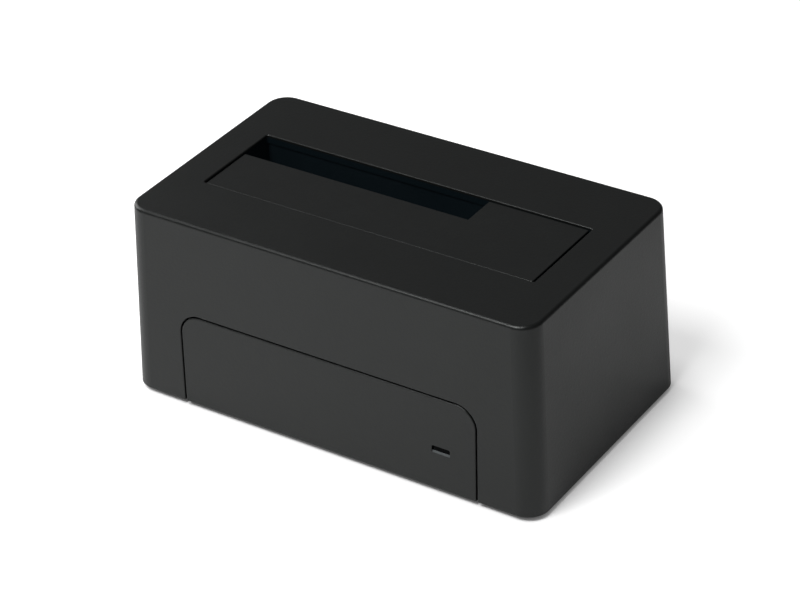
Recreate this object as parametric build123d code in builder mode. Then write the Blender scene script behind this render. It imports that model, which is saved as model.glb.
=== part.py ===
"""Hard drive docking station with one upright bay for a 3.5 inch or a 2.5 inch drive.

All lengths are in millimetres. X runs along the length, the front faces -Y, Z is up, and the origin is on
the surface that the feet stand on, under the middle of the body. A drafted housing drops over a base tray,
whose front and rear tabs fill cut-outs in the housing's walls. A cradle hangs below the slot in the top, and
a sprung flap closes the slot, apart from the mouth for small drives. The flap folds down against the
cradle's front wall when a large drive is pushed in. The circuit board lies in the tray and carries the rest.
"""
import os
from math import cos, hypot, radians, sin, tan

from build123d import *

# Drives that the bay takes, and where their connector is
LARGE_DRIVE_WIDTH = 101.6
LARGE_DRIVE_THICKNESS = 26.1
SMALL_DRIVE_WIDTH = 69.85
SMALL_DRIVE_THICKNESS = 9.5
CONNECTOR_FROM_EDGE = 30.12
CONNECTOR_FROM_BACK = 3.5

# Slot in the top and the mouth that the flap leaves open for a small drive
SLOT_END_CLEARANCE = 0.7
DRIVE_BACK_CLEARANCE = 0.6
FOLDED_FLAP_ROOM = 2.7
SMALL_MOUTH_END_CLEARANCE = 1.5
SMALL_MOUTH_FRONT_CLEARANCE = 1.0
SLOT_CORNER_RADIUS = 0.6
SLOT_EDGE_RADIUS = 0.35

# Body round the slot: margins at the bottom rim, walls and rounding
END_MARGIN = 13.0
FRONT_MARGIN = 22.25
BACK_MARGIN = 23.85
DRAFT_ANGLE = 2.0
BODY_CORNER_RADIUS = 6.0
TOP_EDGE_RADIUS = 1.0
WALL = 2.2
TOP_THICKNESS = 2.6
FOOT_DROP = 1.5

# Flap and its hinge
FLAP_THICKNESS = 2.0
FLAP_SINK = 0.4
FLAP_BACK_GAP = 0.5
FLAP_LEFT_GAP = 0.5
FLAP_RIGHT_GAP = 0.85
FLAP_FRONT_GAP = 0.35
FLAP_EDGE_RADIUS = 0.2
HINGE_DROP = 5.8
FOLD_CLEARANCE = 1.1
POCKET_CLEARANCE = 0.5
SWING_CLEARANCE = 0.3
FLOOR_CLEARANCE = 1.2
ARM_SPACING = 76.0
ARM_WIDTH = 5.0
ARM_FOOT_LENGTH = 4.4
ARM_TOP_CLEARANCE = 0.3
BARREL_RADIUS = 2.2
ARM_UNDERSIDE_ANGLE = 60.0
SHAFT_RADIUS = 1.0
SHAFT_CLEARANCE = 0.05
SHAFT_OVERHANG = 1.6
SHAFT_CHAMFER = 0.2
CLIP_THICKNESS = 0.5
CLIP_RADIUS = 1.6
CLIP_GROOVE_DEPTH = 0.2
CLIP_MOUTH = 1.3
EAR_THICKNESS = 1.6
EAR_LEG = 6.0
SIDE_GAP = 0.3
SPRING_ROOM = 7.6
SPRING_SIDE_CLEARANCE = 1.2
SPRING_SHAFT_CLEARANCE = 0.3
SPRING_WIRE_RADIUS = 0.25
SPRING_TURNS = 4
SPRING_LEG_ANGLE = 35.0
SPRING_LEG_CLEARANCE = 0.1

# Cradle
CRADLE_WALL = 1.6
CRADLE_FLOOR = 1.6
WINDOW_CLEARANCE = 0.8
BOSS_DROP = 6.0
BOSS_RADIUS = 3.0
BOSS_SKIN = 0.8
LUG_THICKNESS = 2.4
LUG_RADIUS = 3.1
LUG_SPACING = 20.0
RAIL_WIDTH = 1.2
RAIL_HEIGHT = 0.8
RAIL_SPACING = 17.0

# Base tray
BASE_WALL = 2.2
RIM_GAP = 0.25
TAB_WIDTH = 92.6
TAB_HEIGHT = 27.5
TAB_CORNER_RADIUS = 6.0
TAB_GAP = 0.45
TAB_EDGE_RADIUS = 0.3
FLANGE_THICKNESS = 1.2
FLANGE_GAP = 0.15
FLANGE_LIP = 1.6
STANDOFF_HEIGHT = 4.0
STANDOFF_RADIUS = 3.0
COLUMN_INSET_X = 10.5
COLUMN_INSET_Y = 10.75
COLUMN_RADIUS = 3.2
BASE_BOSS_RADIUS = 4.4
BOSS_FLOOR = 1.6
RIB_THICKNESS = 1.2
RIB_BITE = 0.3
RIB_RISE = 10.0
FOOT_RADIUS = 5.0
FOOT_RECESS = 0.8
FOOT_CLEARANCE = 0.1
FOOT_CHAMFER = 0.5
VENT_LENGTH = 18.0
VENT_WIDTH = 2.0
VENT_PITCH_X = 24.0
VENT_PITCH_Y = 5.0
VENT_COLUMNS = 3
VENT_ROWS = 5

# Screws: radius of the shank, head and recess
SCREW_RADIUS = 1.3
SCREW_HEAD_RADIUS = 2.5
SCREW_HEAD_HEIGHT = 1.7
SCREW_HEAD_EDGE = 0.4
SCREW_HOLE_CLEARANCE = 0.2
SCREW_HEAD_CLEARANCE = 0.3
THREAD_CLEARANCE = 0.03
RECESS_LENGTH = 2.6
RECESS_WIDTH = 0.6
RECESS_DEPTH = 0.9
BASE_SCREW_LENGTH = 8.0
CRADLE_SCREW_LENGTH = 7.0
BOARD_SCREW_LENGTH = 5.0
PILOT_SPARE = 0.6

# Circuit board and the room above it
BOARD_THICKNESS = 1.6
BOARD_END_GAP = 1.6
BOARD_FRONT_GAP = 2.4
BOARD_BACK_GAP = 0.6
BOARD_HOLE_INSET = 5.0
BOARD_CORNER_RADIUS = 1.5
COMPONENT_ROOM = 6.1
PIN_CLEARANCE = 0.1
LEAD_THICKNESS = 0.3

# Drive connector, a 22 way receptacle of a 15 way and a 7 way part
SATA_ENTRY = 5.0
SATA_FOOT_LENGTH = 44.0
SATA_FOOT_WIDTH = 8.4
SATA_FOOT_HEIGHT = 2.0
SATA_LENGTH = 41.6
SATA_WIDTH = 6.0
SATA_EDGE_CHAMFER = 0.6
SATA_WINDOW_CLEARANCE = 0.4
SATA_SPAN = 33.39
SATA_POWER_SLOT = 20.57
SATA_SIGNAL_SLOT = 10.41
SATA_SLOT_WIDTH = 1.5
SATA_KEY_LENGTH = 1.2
SATA_KEY_REACH = 1.1
SATA_SLOT_DEPTH = 6.2
SATA_PITCH = 1.27
SATA_POWER_WAYS = 15
SATA_SIGNAL_WAYS = 7
SATA_CONTACT_WIDTH = 0.6
SATA_CONTACT_BELOW_TOP = 0.8
SATA_LEAD_REACH = 1.4

# Data port, a stacked square receptacle
USB_X = -4.0
USB_WIDTH = 12.0
USB_HEIGHT = 12.2
USB_LENGTH = 17.5
USB_SHEET = 0.4
USB_LOWER_WIDTH = 8.5
USB_LOWER_HEIGHT = 7.0
USB_UPPER_WIDTH = 5.8
USB_UPPER_HEIGHT = 3.0
USB_OPENING_DROP = 1.1
USB_BACK_BLOCK = 7.5
USB_TONGUE_WIDTH = 5.6
USB_TONGUE_HEIGHT = 2.8
USB_UPPER_TONGUE_WIDTH = 4.2
USB_UPPER_TONGUE_HEIGHT = 1.1
USB_TONGUE_SETBACK = 1.2
USB_CONTACT_WIDTH = 0.4
USB_CONTACT_THICKNESS = 0.2
USB_CONTACT_PITCH = 2.0
USB_CONTACT_SETBACK = 0.5
USB_UPPER_PITCH = 0.8
USB_UPPER_WAYS = 5
USB_TAB_WIDTH = 2.4
USB_TAB_SPACING = 9.0
USB_TAB_FROM_BACK = 4.25
USB_CRADLE_GAP = 2.5
TAIL_BELOW_BOARD = 1.2

# Power inlet for a 5.5 mm plug with a 2 mm pin
JACK_X = -30.0
JACK_WIDTH = 9.0
JACK_HEIGHT = 11.0
JACK_LENGTH = 12.0
JACK_AXIS_HEIGHT = 6.2
JACK_NOSE_RADIUS = 4.1
JACK_BORE_RADIUS = 3.15
JACK_BORE_DEPTH = 11.0
JACK_PIN_RADIUS = 1.0
JACK_SHANK_RADIUS = 0.75
JACK_PIN_SETBACK = 0.8
JACK_LEAF_WIDTH = 2.0
JACK_LEAF_THICKNESS = 0.35
JACK_LEAF_RISE = 0.35
JACK_LEAF_REACH = 3.0
JACK_EDGE_CHAMFER = 0.6
JACK_TERMINAL_POCKET = 0.8
JACK_TERMINAL_WIDTH = 2.6

# Power switch and its button
SWITCH_X = 24.0
SWITCH_FROM_WALL = 3.2
SWITCH_WIDTH = 8.5
SWITCH_HEIGHT = 9.0
SWITCH_LENGTH = 9.5
SWITCH_AXIS_HEIGHT = 5.2
SWITCH_WALL = 1.2
PLUNGER_SIZE = 3.2
PLUNGER_CLEARANCE = 0.15
PLUNGER_COLLAR = 1.0
PLUNGER_COLLAR_LENGTH = 1.4
BUTTON_WIDTH = 9.0
BUTTON_HEIGHT = 6.0
BUTTON_CORNER_RADIUS = 1.6
BUTTON_TRAVEL = 1.5
BUTTON_PRESSED_HEIGHT = 0.3
BUTTON_GAP = 0.3
BUTTON_STOP_GAP = 0.1
BUTTON_FLANGE = 0.9
BUTTON_FLANGE_THICKNESS = 1.0
BUTTON_SOCKET_DEPTH = 2.6
BUTTON_EDGE_RADIUS = 0.5
SWITCH_SPRING_RADIUS = 1.5
SWITCH_SPRING_WIRE = 0.2
SWITCH_SPRING_TURNS = 5
SWITCH_PIN_SIZE = 0.6
SWITCH_PIN_RISE = 1.0
SWITCH_PIN_PITCH = 2.5

# Recess in the rear tab that the ports open into
PORT_RECESS_WIDTH = 74.0
PORT_RECESS_MARGIN = 1.6
PORT_RECESS_DEPTH = 1.2
PORT_RECESS_RADIUS = 1.5
PORT_CLEARANCE = 0.3

# Status light: window in the front tab, light pipe and lamp
LAMP_X = 35.8
LAMP_HEIGHT = 11.8
WINDOW_WIDTH = 5.6
WINDOW_HEIGHT = 2.2
WINDOW_CORNER_RADIUS = 0.5
PIPE_SETBACK = 0.1
PIPE_SILL = 0.45
PIPE_LAMP_GAP = 0.3
PIPE_SOCKET_WALL = 1.2
PIPE_SOCKET_DEPTH = 1.0
LAMP_LENGTH = 2.0
LAMP_WIDTH = 1.25
LAMP_THICKNESS = 0.8
LAMP_FROM_EDGE = 1.5
LAMP_CHAMFER = 0.15

# Parts on the board
CHIP_SIZE = 10.0
CHIP_HEIGHT = 1.4
CHIP_LEAD_PITCH = 0.8
CHIP_LEAD_COUNT = 11
CHIP_LEAD_WIDTH = 0.35
CHIP_LEAD_REACH = 1.0
CHIP_LEAD_THICKNESS = 0.2
CHIP_STANDING_GAP = 0.1
CHIP_MARK_RADIUS = 0.5
CHIP_MARK_DEPTH = 0.1
CHIP_EDGE_CHAMFER = 0.2
BRIDGE_X = -14.0
BRIDGE_Y = -10.0
SMALL_CHIP_LENGTH = 4.9
SMALL_CHIP_WIDTH = 3.9
SMALL_CHIP_PITCH = 1.27
SMALL_CHIP_LEAD_COUNT = 4
MEMORY_PLACE = (3.0, -11.0)
REGULATOR_PLACE = (34.0, 6.0)
CRYSTAL_LENGTH = 11.0
CRYSTAL_WIDTH = 4.6
CRYSTAL_HEIGHT = 3.5
CRYSTAL_BASE = 0.6
CRYSTAL_FLANGE = 0.4
CRYSTAL_X = -32.0
CRYSTAL_Y = -10.0
CRYSTAL_LEAD_PITCH = 4.9
CAN_RADIUS = 4.0
CAN_HEIGHT = 11.0
CAN_GROOVE = 0.3
CAN_GROOVE_HEIGHT = 2.2
CAN_SCORE_WIDTH = 0.5
CAN_SCORE_DEPTH = 0.25
CAN_LEAD_PITCH = 3.5
CAN_X = (-33.0, -21.0)
CAN_FROM_EDGE = 6.5
ROUND_LEAD_RADIUS = 0.3
COIL_SIZE = 7.0
COIL_HEIGHT = 4.0
COIL_CHAMFER = 1.0
COIL_CORE_RADIUS = 2.6
COIL_CORE_GAP = 0.4
COIL_CORE_DEPTH = 0.5
COIL_PLACE = (21.0, 4.0)
CHIP_PART_LENGTH = 2.0
CHIP_PART_WIDTH = 1.25
CERAMIC_HEIGHT = 1.1
RESISTOR_HEIGHT = 0.5
SMALL_PART_PITCH = 4.5

OVERRUN = 1.0

# Where a block stands from its place: up, down, to the rear, up and to the rear, or to the front
BOTTOM = (Align.CENTER, Align.CENTER, Align.MIN)
TOP_DOWN = (Align.CENTER, Align.CENTER, Align.MAX)
REARWARD = (Align.CENTER, Align.MIN, Align.CENTER)
UP_REARWARD = (Align.CENTER, Align.MIN, Align.MIN)
FORWARD = (Align.CENTER, Align.MAX, Align.CENTER)

# Slot and flap places, worked out from the sizes above
SLOT_LENGTH = LARGE_DRIVE_WIDTH + 2 * SLOT_END_CLEARANCE
SLOT_DEPTH = LARGE_DRIVE_THICKNESS + DRIVE_BACK_CLEARANCE + FOLDED_FLAP_ROOM
BODY_LENGTH = SLOT_LENGTH + 2 * END_MARGIN
BODY_WIDTH = FRONT_MARGIN + SLOT_DEPTH + BACK_MARGIN
SLOT_FRONT_Y = FRONT_MARGIN - BODY_WIDTH / 2
SLOT_BACK_Y = SLOT_FRONT_Y + SLOT_DEPTH
SLOT_MIDDLE_Y = (SLOT_FRONT_Y + SLOT_BACK_Y) / 2
SMALL_MOUTH_RIGHT_X = -SLOT_LENGTH / 2 + SLOT_END_CLEARANCE + SMALL_DRIVE_WIDTH + SMALL_MOUTH_END_CLEARANCE
SMALL_MOUTH_FRONT_Y = (
    SLOT_BACK_Y - DRIVE_BACK_CLEARANCE - SMALL_DRIVE_THICKNESS - SMALL_MOUTH_FRONT_CLEARANCE
)
FLAP_FRONT_Y = SLOT_FRONT_Y + FLAP_FRONT_GAP
FLAP_BACK_Y = SLOT_BACK_Y - FLAP_BACK_GAP
FLAP_LEFT_X = FLAP_LEFT_GAP - SLOT_LENGTH / 2
FLAP_RIGHT_X = SLOT_LENGTH / 2 - FLAP_RIGHT_GAP
FOLDED_FACE_Y = SLOT_FRONT_Y + FOLDED_FLAP_ROOM - FOLD_CLEARANCE
HINGE_Y = FOLDED_FACE_Y - HINGE_DROP
FLAP_REACH = FLAP_BACK_Y - HINGE_Y

# Heights, from the floor up to the top face
RIM_Z = FOOT_DROP
TRAY_Z = RIM_Z + BASE_WALL
BOARD_Z = TRAY_Z + STANDOFF_HEIGHT
BOARD_TOP_Z = BOARD_Z + BOARD_THICKNESS
CRADLE_BOTTOM_Z = BOARD_TOP_Z + COMPONENT_ROOM
BAY_FLOOR_Z = CRADLE_BOTTOM_Z + CRADLE_FLOOR
HINGE_Z = BAY_FLOOR_Z + FLOOR_CLEARANCE + FLAP_REACH
FLAP_TOP_Z = HINGE_Z + HINGE_DROP
FLAP_UNDER_Z = FLAP_TOP_Z - FLAP_THICKNESS
TOP_Z = FLAP_TOP_Z + FLAP_SINK
TOP_UNDER_Z = TOP_Z - TOP_THICKNESS
BODY_HEIGHT = TOP_Z - RIM_Z
SLOPE = tan(radians(DRAFT_ANGLE))

# Cradle walls, and places that several pieces share
CRADLE_END_X = SLOT_LENGTH / 2
CRADLE_OUTER_X = CRADLE_END_X + CRADLE_WALL
CRADLE_FRONT_Y = FOLDED_FACE_Y - FLAP_THICKNESS - POCKET_CLEARANCE
FLAP_SWEEP_Y = HINGE_Y + hypot(FLAP_REACH, HINGE_DROP)
CRADLE_BACK_Y = max(SLOT_BACK_Y, FLAP_SWEEP_Y) + SWING_CLEARANCE
LUG_TOP_Z = TOP_UNDER_Z - BOSS_DROP
COLUMN_X = BODY_LENGTH / 2 - COLUMN_INSET_X
COLUMN_Y = BODY_WIDTH / 2 - COLUMN_INSET_Y
FOOT_TOP_Z = RIM_Z + FOOT_RECESS
SCREW_POCKET_TOP_Z = FOOT_TOP_Z + SCREW_HEAD_HEIGHT + SCREW_HEAD_CLEARANCE
BASE_BOSS_Z = SCREW_POCKET_TOP_Z + BOSS_FLOOR
CORNERS = [(x * COLUMN_X, y * COLUMN_Y) for y in (-1, 1) for x in (-1, 1)]


def outer_half_length(z):
    """Distance from the middle plane to an end's outer face at a height."""
    return BODY_LENGTH / 2 - SLOPE * (z - RIM_Z)


def outer_half_width(z):
    """Distance from the middle plane to the front's or the back's outer face at a height."""
    return BODY_WIDTH / 2 - SLOPE * (z - RIM_Z)


LUG_X = (CRADLE_OUTER_X + outer_half_length(LUG_TOP_Z) - WALL) / 2
LUGS = [(x * LUG_X, SLOT_MIDDLE_Y + y * LUG_SPACING / 2) for y in (-1, 1) for x in (-1, 1)]
BOARD_LENGTH = 2 * (COLUMN_X - BASE_BOSS_RADIUS - BOARD_END_GAP)
BOARD_FRONT_Y = -outer_half_width(BOARD_Z) + WALL + FLANGE_THICKNESS + BOARD_FRONT_GAP
BOARD_BACK_Y = outer_half_width(BOARD_TOP_Z + USB_HEIGHT) - WALL - FLANGE_THICKNESS - BOARD_BACK_GAP
BOARD_MIDDLE_Y = (BOARD_FRONT_Y + BOARD_BACK_Y) / 2
BOARD_WIDTH = BOARD_BACK_Y - BOARD_FRONT_Y
BOARD_HOLES = [
    (x * (BOARD_LENGTH / 2 - BOARD_HOLE_INSET), y)
    for y in (BOARD_FRONT_Y + BOARD_HOLE_INSET, BOARD_BACK_Y - BOARD_HOLE_INSET)
    for x in (-1, 1)
]
PORT_TOP_Z = BOARD_TOP_Z + USB_HEIGHT + PORT_CLEARANCE + PORT_RECESS_MARGIN
PORT_BOTTOM_Z = BOARD_TOP_Z - PORT_CLEARANCE - PORT_RECESS_MARGIN
PORT_FACE_Y = outer_half_width(PORT_TOP_Z) - PORT_RECESS_DEPTH
SATA_X = -SLOT_LENGTH / 2 + SLOT_END_CLEARANCE + CONNECTOR_FROM_EDGE
SATA_Y = SLOT_BACK_Y - DRIVE_BACK_CLEARANCE - CONNECTOR_FROM_BACK
SATA_TOP_Z = BAY_FLOOR_Z + SATA_ENTRY
LAMP_Z = RIM_Z + LAMP_HEIGHT
LAMP_Y = BOARD_FRONT_Y + LAMP_FROM_EDGE
SWITCH_PIN_TOP_Z = BOARD_TOP_Z + SWITCH_PIN_RISE

# Where the small parts stand: rows beside the chips they serve, and one resistor beside the lamp
CERAMIC_PLACES = [
    (BRIDGE_X + i * SMALL_PART_PITCH, BRIDGE_Y - CHIP_SIZE / 2 - SMALL_PART_PITCH) for i in (-1, 0, 1)
] + [
    (REGULATOR_PLACE[0] + i * SMALL_PART_PITCH, REGULATOR_PLACE[1] + 2 * SMALL_PART_PITCH)
    for i in (-1, 0, 1)
]
RESISTOR_PLACES = [
    (MEMORY_PLACE[0] + i * SMALL_PART_PITCH, MEMORY_PLACE[1] + 2 * SMALL_PART_PITCH) for i in (0, 1, 2)
] + [(LAMP_X - SMALL_PART_PITCH, LAMP_Y + SMALL_PART_PITCH)]


def inner_port_wall_y(z):
    """Y of the rear tab's inner face at a height."""
    return outer_half_width(z) - WALL - FLANGE_THICKNESS


def save(part, name):
    """Label a finished piece and write it under its name."""
    part.label = name
    export_step(part, f"parts/{name}.step")


def shell_block(inset, height):
    """Drafted block with rounded corners, standing on the rim plane, inset from the body's outer faces."""
    with BuildPart() as block:
        with BuildSketch(Plane.XY.offset(RIM_Z)):
            Rectangle(BODY_LENGTH - 2 * inset, BODY_WIDTH - 2 * inset)
        extrude(amount=height, taper=DRAFT_ANGLE)
        fillet(block.edges().group_by(Axis.Z)[1], BODY_CORNER_RADIUS - inset)
    return block.part


def tab_prism(grow):
    """Prism along Y with the outline of the front and rear tabs, grown by a gap or a lip."""
    height = TAB_HEIGHT + grow + OVERRUN
    with BuildPart() as prism:
        with BuildSketch(Plane.XZ) as outline:
            with Locations((0, RIM_Z - OVERRUN + height / 2)):
                Rectangle(TAB_WIDTH + 2 * grow, height)
            fillet(outline.vertices().group_by(Axis.Y)[-1], TAB_CORNER_RADIUS + grow)
        extrude(amount=BODY_WIDTH, both=True)
    return prism.part


def tab_edges(part, grow):
    """Edges of the front and rear outer faces that follow the tabs' outline, grown by a gap or not."""
    found = ShapeList()
    for face in (part.faces().sort_by(Axis.Y)[0], part.faces().sort_by(Axis.Y)[-1]):
        found += [
            edge
            for edge in face.outer_wire().edges()
            if abs(edge.center().X) < TAB_WIDTH / 2 + grow + TAB_EDGE_RADIUS
            and RIM_Z + TAB_EDGE_RADIUS < edge.center().Z < RIM_Z + TAB_HEIGHT + grow + TAB_EDGE_RADIUS
        ]
    return found


def pan_screw(length):
    """Pan-head screw with its head's seat at the origin, the shank along +Z and the head below."""
    with BuildPart() as screw:
        Cylinder(SCREW_RADIUS, length, align=BOTTOM)
        Cylinder(SCREW_HEAD_RADIUS, SCREW_HEAD_HEIGHT, align=TOP_DOWN)
        fillet(screw.edges().sort_by(Axis.Z)[0], SCREW_HEAD_EDGE)
        chamfer(screw.edges().sort_by(Axis.Z)[-1], SCREW_RADIUS / 3)
        with Locations((0, 0, -SCREW_HEAD_HEIGHT)):
            Box(RECESS_LENGTH, RECESS_WIDTH, RECESS_DEPTH, align=BOTTOM, mode=Mode.SUBTRACT)
            Box(RECESS_WIDTH, RECESS_LENGTH, RECESS_DEPTH, align=BOTTOM, mode=Mode.SUBTRACT)
    return screw.part


os.makedirs("parts", exist_ok=True)

# Housing: five walls, the slot, the cut-outs for the tray's tabs, bosses and ribbed columns
with BuildPart() as housing:
    add(shell_block(0, BODY_HEIGHT))
    fillet(housing.faces().sort_by(Axis.Z)[-1].edges(), TOP_EDGE_RADIUS)
    add(shell_block(WALL, BODY_HEIGHT - TOP_THICKNESS), mode=Mode.SUBTRACT)
    with BuildSketch(Plane.XY.offset(TOP_Z)):
        with Locations((0, SLOT_MIDDLE_Y)):
            RectangleRounded(SLOT_LENGTH, SLOT_DEPTH, SLOT_CORNER_RADIUS)
    extrude(amount=-TOP_THICKNESS - OVERRUN, mode=Mode.SUBTRACT)
    top_face = housing.faces().filter_by(Axis.Z).sort_by(Axis.Z)[-1]
    fillet(top_face.inner_wires()[0].edges(), SLOT_EDGE_RADIUS)
    add(tab_prism(TAB_GAP), mode=Mode.SUBTRACT)
    fillet(tab_edges(housing, TAB_GAP), TAB_EDGE_RADIUS)
    with Locations([(x, y, TOP_UNDER_Z + OVERRUN) for x, y in LUGS]):
        Cylinder(BOSS_RADIUS, BOSS_DROP + OVERRUN, align=TOP_DOWN)
    with Locations([(x, y, LUG_TOP_Z) for x, y in LUGS]):
        Cylinder(SCREW_RADIUS + THREAD_CLEARANCE, BOSS_DROP - BOSS_SKIN, align=BOTTOM, mode=Mode.SUBTRACT)
    rib_bottom_z = RIM_Z + RIB_RISE
    rib_height = TOP_UNDER_Z + OVERRUN - rib_bottom_z
    rib_end_x = outer_half_length(rib_bottom_z) - WALL + RIB_BITE
    rib_end_y = outer_half_width(rib_bottom_z) - WALL + RIB_BITE
    for x, y in CORNERS:
        side_x = x / COLUMN_X
        side_y = y / COLUMN_Y
        with Locations((x, y, BASE_BOSS_Z)):
            Cylinder(COLUMN_RADIUS, TOP_UNDER_Z + OVERRUN - BASE_BOSS_Z, align=BOTTOM)
        with Locations((side_x * (COLUMN_X + rib_end_x) / 2, y, rib_bottom_z)):
            Box(rib_end_x - COLUMN_X, RIB_THICKNESS, rib_height, align=BOTTOM)
        with Locations((x, side_y * (COLUMN_Y + rib_end_y) / 2, rib_bottom_z)):
            Box(RIB_THICKNESS, rib_end_y - COLUMN_Y, rib_height, align=BOTTOM)
        with Locations((x, y, BASE_BOSS_Z)):
            Cylinder(
                SCREW_RADIUS + THREAD_CLEARANCE,
                BASE_SCREW_LENGTH,
                align=BOTTOM,
                mode=Mode.SUBTRACT,
            )
save(housing.part, "housing")


def port_plane(y):
    """Plane across the body at a depth. Its X is the object's X, its Y is up and it faces the front."""
    return Plane.XZ.offset(-y)


# Base tray: floor, front and rear tabs with flanges behind the housing's walls, bosses and standoffs
with BuildPart() as tab_flanges:
    add(shell_block(WALL + FLANGE_GAP, BODY_HEIGHT))
    add(shell_block(WALL + FLANGE_THICKNESS, BODY_HEIGHT + OVERRUN), mode=Mode.SUBTRACT)
    add(tab_prism(FLANGE_LIP), mode=Mode.INTERSECT)

with BuildPart() as base_tray:
    add(shell_block(0, BODY_HEIGHT))
    add(shell_block(WALL + FLANGE_THICKNESS, BODY_HEIGHT + OVERRUN), mode=Mode.SUBTRACT)
    add(tab_prism(0), mode=Mode.INTERSECT)
    fillet(tab_edges(base_tray, 0), TAB_EDGE_RADIUS)
    add(tab_flanges.part)
    add(shell_block(WALL + RIM_GAP, BASE_WALL))
    with Locations([(x, y, RIM_Z) for x, y in CORNERS]):
        Cylinder(BASE_BOSS_RADIUS, BASE_BOSS_Z - RIM_Z, align=BOTTOM)
        Cylinder(FOOT_RADIUS + FOOT_CLEARANCE, FOOT_RECESS, align=BOTTOM, mode=Mode.SUBTRACT)
        Cylinder(
            SCREW_HEAD_RADIUS + SCREW_HOLE_CLEARANCE,
            SCREW_POCKET_TOP_Z - RIM_Z,
            align=BOTTOM,
            mode=Mode.SUBTRACT,
        )
        Cylinder(
            SCREW_RADIUS + SCREW_HOLE_CLEARANCE,
            BASE_BOSS_Z - RIM_Z,
            align=BOTTOM,
            mode=Mode.SUBTRACT,
        )
    with Locations([(x, y, RIM_Z + BASE_WALL / 2) for x, y in BOARD_HOLES]):
        Cylinder(STANDOFF_RADIUS, BOARD_Z - RIM_Z - BASE_WALL / 2, align=BOTTOM)
    with Locations([(x, y, BOARD_Z) for x, y in BOARD_HOLES]):
        Cylinder(
            SCREW_RADIUS + THREAD_CLEARANCE,
            BOARD_SCREW_LENGTH - BOARD_THICKNESS + PILOT_SPARE,
            align=TOP_DOWN,
            mode=Mode.SUBTRACT,
        )
    with BuildSketch(Plane.XY.offset(RIM_Z)):
        with GridLocations(VENT_PITCH_X, VENT_PITCH_Y, VENT_COLUMNS, VENT_ROWS):
            SlotOverall(VENT_LENGTH, VENT_WIDTH)
    extrude(amount=BASE_WALL, mode=Mode.SUBTRACT)
    # Window for the status light, in a socket that holds the light pipe
    window_face_y = -outer_half_width(LAMP_Z)
    tab_inner_y = window_face_y + WALL + FLANGE_THICKNESS
    with Locations((LAMP_X, tab_inner_y - FLANGE_THICKNESS / 2, LAMP_Z)):
        Box(
            WINDOW_WIDTH + 2 * PIPE_SOCKET_WALL,
            FLANGE_THICKNESS / 2 + PIPE_SOCKET_DEPTH,
            WINDOW_HEIGHT + 2 * PIPE_SOCKET_WALL,
            align=REARWARD,
        )
    with BuildSketch(port_plane(window_face_y - OVERRUN)):
        with Locations((LAMP_X, LAMP_Z)):
            RectangleRounded(WINDOW_WIDTH, WINDOW_HEIGHT, WINDOW_CORNER_RADIUS)
    extrude(amount=-(WALL + FLANGE_THICKNESS + PIPE_SOCKET_DEPTH + 2 * OVERRUN), mode=Mode.SUBTRACT)
    # Recess and holes for the rear ports
    with BuildSketch(port_plane(PORT_FACE_Y)):
        with Locations((0, (PORT_TOP_Z + PORT_BOTTOM_Z) / 2)):
            RectangleRounded(PORT_RECESS_WIDTH, PORT_TOP_Z - PORT_BOTTOM_Z, PORT_RECESS_RADIUS)
    extrude(amount=-WALL - PORT_RECESS_DEPTH, mode=Mode.SUBTRACT)
    with BuildSketch(port_plane(PORT_FACE_Y)):
        with Locations((USB_X, BOARD_TOP_Z + USB_HEIGHT / 2)):
            Rectangle(USB_WIDTH + 2 * PORT_CLEARANCE, USB_HEIGHT + 2 * PORT_CLEARANCE)
        with Locations((JACK_X, BOARD_TOP_Z + JACK_AXIS_HEIGHT)):
            Circle(JACK_NOSE_RADIUS + PORT_CLEARANCE)
        with Locations((SWITCH_X, BOARD_TOP_Z + SWITCH_AXIS_HEIGHT)):
            RectangleRounded(
                BUTTON_WIDTH + 2 * BUTTON_GAP,
                BUTTON_HEIGHT + 2 * BUTTON_GAP,
                BUTTON_CORNER_RADIUS + BUTTON_GAP,
            )
    extrude(amount=WALL + FLANGE_THICKNESS + OVERRUN, mode=Mode.SUBTRACT)
save(base_tray.part, "base_tray")

# Rubber feet, seated in the tray's recesses over the base screws
for (x, y), name in zip(CORNERS, ("front_left", "front_right", "rear_left", "rear_right")):
    with BuildPart() as foot:
        with Locations((x, y, 0)):
            Cylinder(FOOT_RADIUS, FOOT_TOP_Z, align=BOTTOM)
        chamfer(foot.edges().sort_by(Axis.Z)[0], FOOT_CHAMFER)
    save(foot.part, f"{name}_foot")

# Screws that hold the housing to the tray, the cradle to the housing and the board to the tray
with BuildPart() as base_screws:
    with Locations([(x, y, SCREW_POCKET_TOP_Z) for x, y in CORNERS]):
        add(pan_screw(BASE_SCREW_LENGTH))
save(base_screws.part, "base_screws")

with BuildPart() as cradle_screws:
    with Locations([(x, y, LUG_TOP_Z - LUG_THICKNESS) for x, y in LUGS]):
        add(pan_screw(CRADLE_SCREW_LENGTH))
save(cradle_screws.part, "cradle_screws")

with BuildPart() as board_screws:
    with Locations([Location((x, y, BOARD_TOP_Z), (180, 0, 0)) for x, y in BOARD_HOLES]):
        add(pan_screw(BOARD_SCREW_LENGTH))
save(board_screws.part, "board_screws")

# Cradle: the bay's walls and floor, hinge ears in front, lugs at the ends
ARM_OUTER_X = (ARM_SPACING + ARM_WIDTH) / 2
ARM_INNER_X = (ARM_SPACING - ARM_WIDTH) / 2
OUTER_EAR_X = ARM_OUTER_X + SIDE_GAP
INNER_EAR_X = ARM_INNER_X - SPRING_ROOM
WINDOW_BOTTOM_Z = HINGE_Z - (FLAP_FRONT_Y + ARM_FOOT_LENGTH - HINGE_Y) - WINDOW_CLEARANCE


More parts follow.
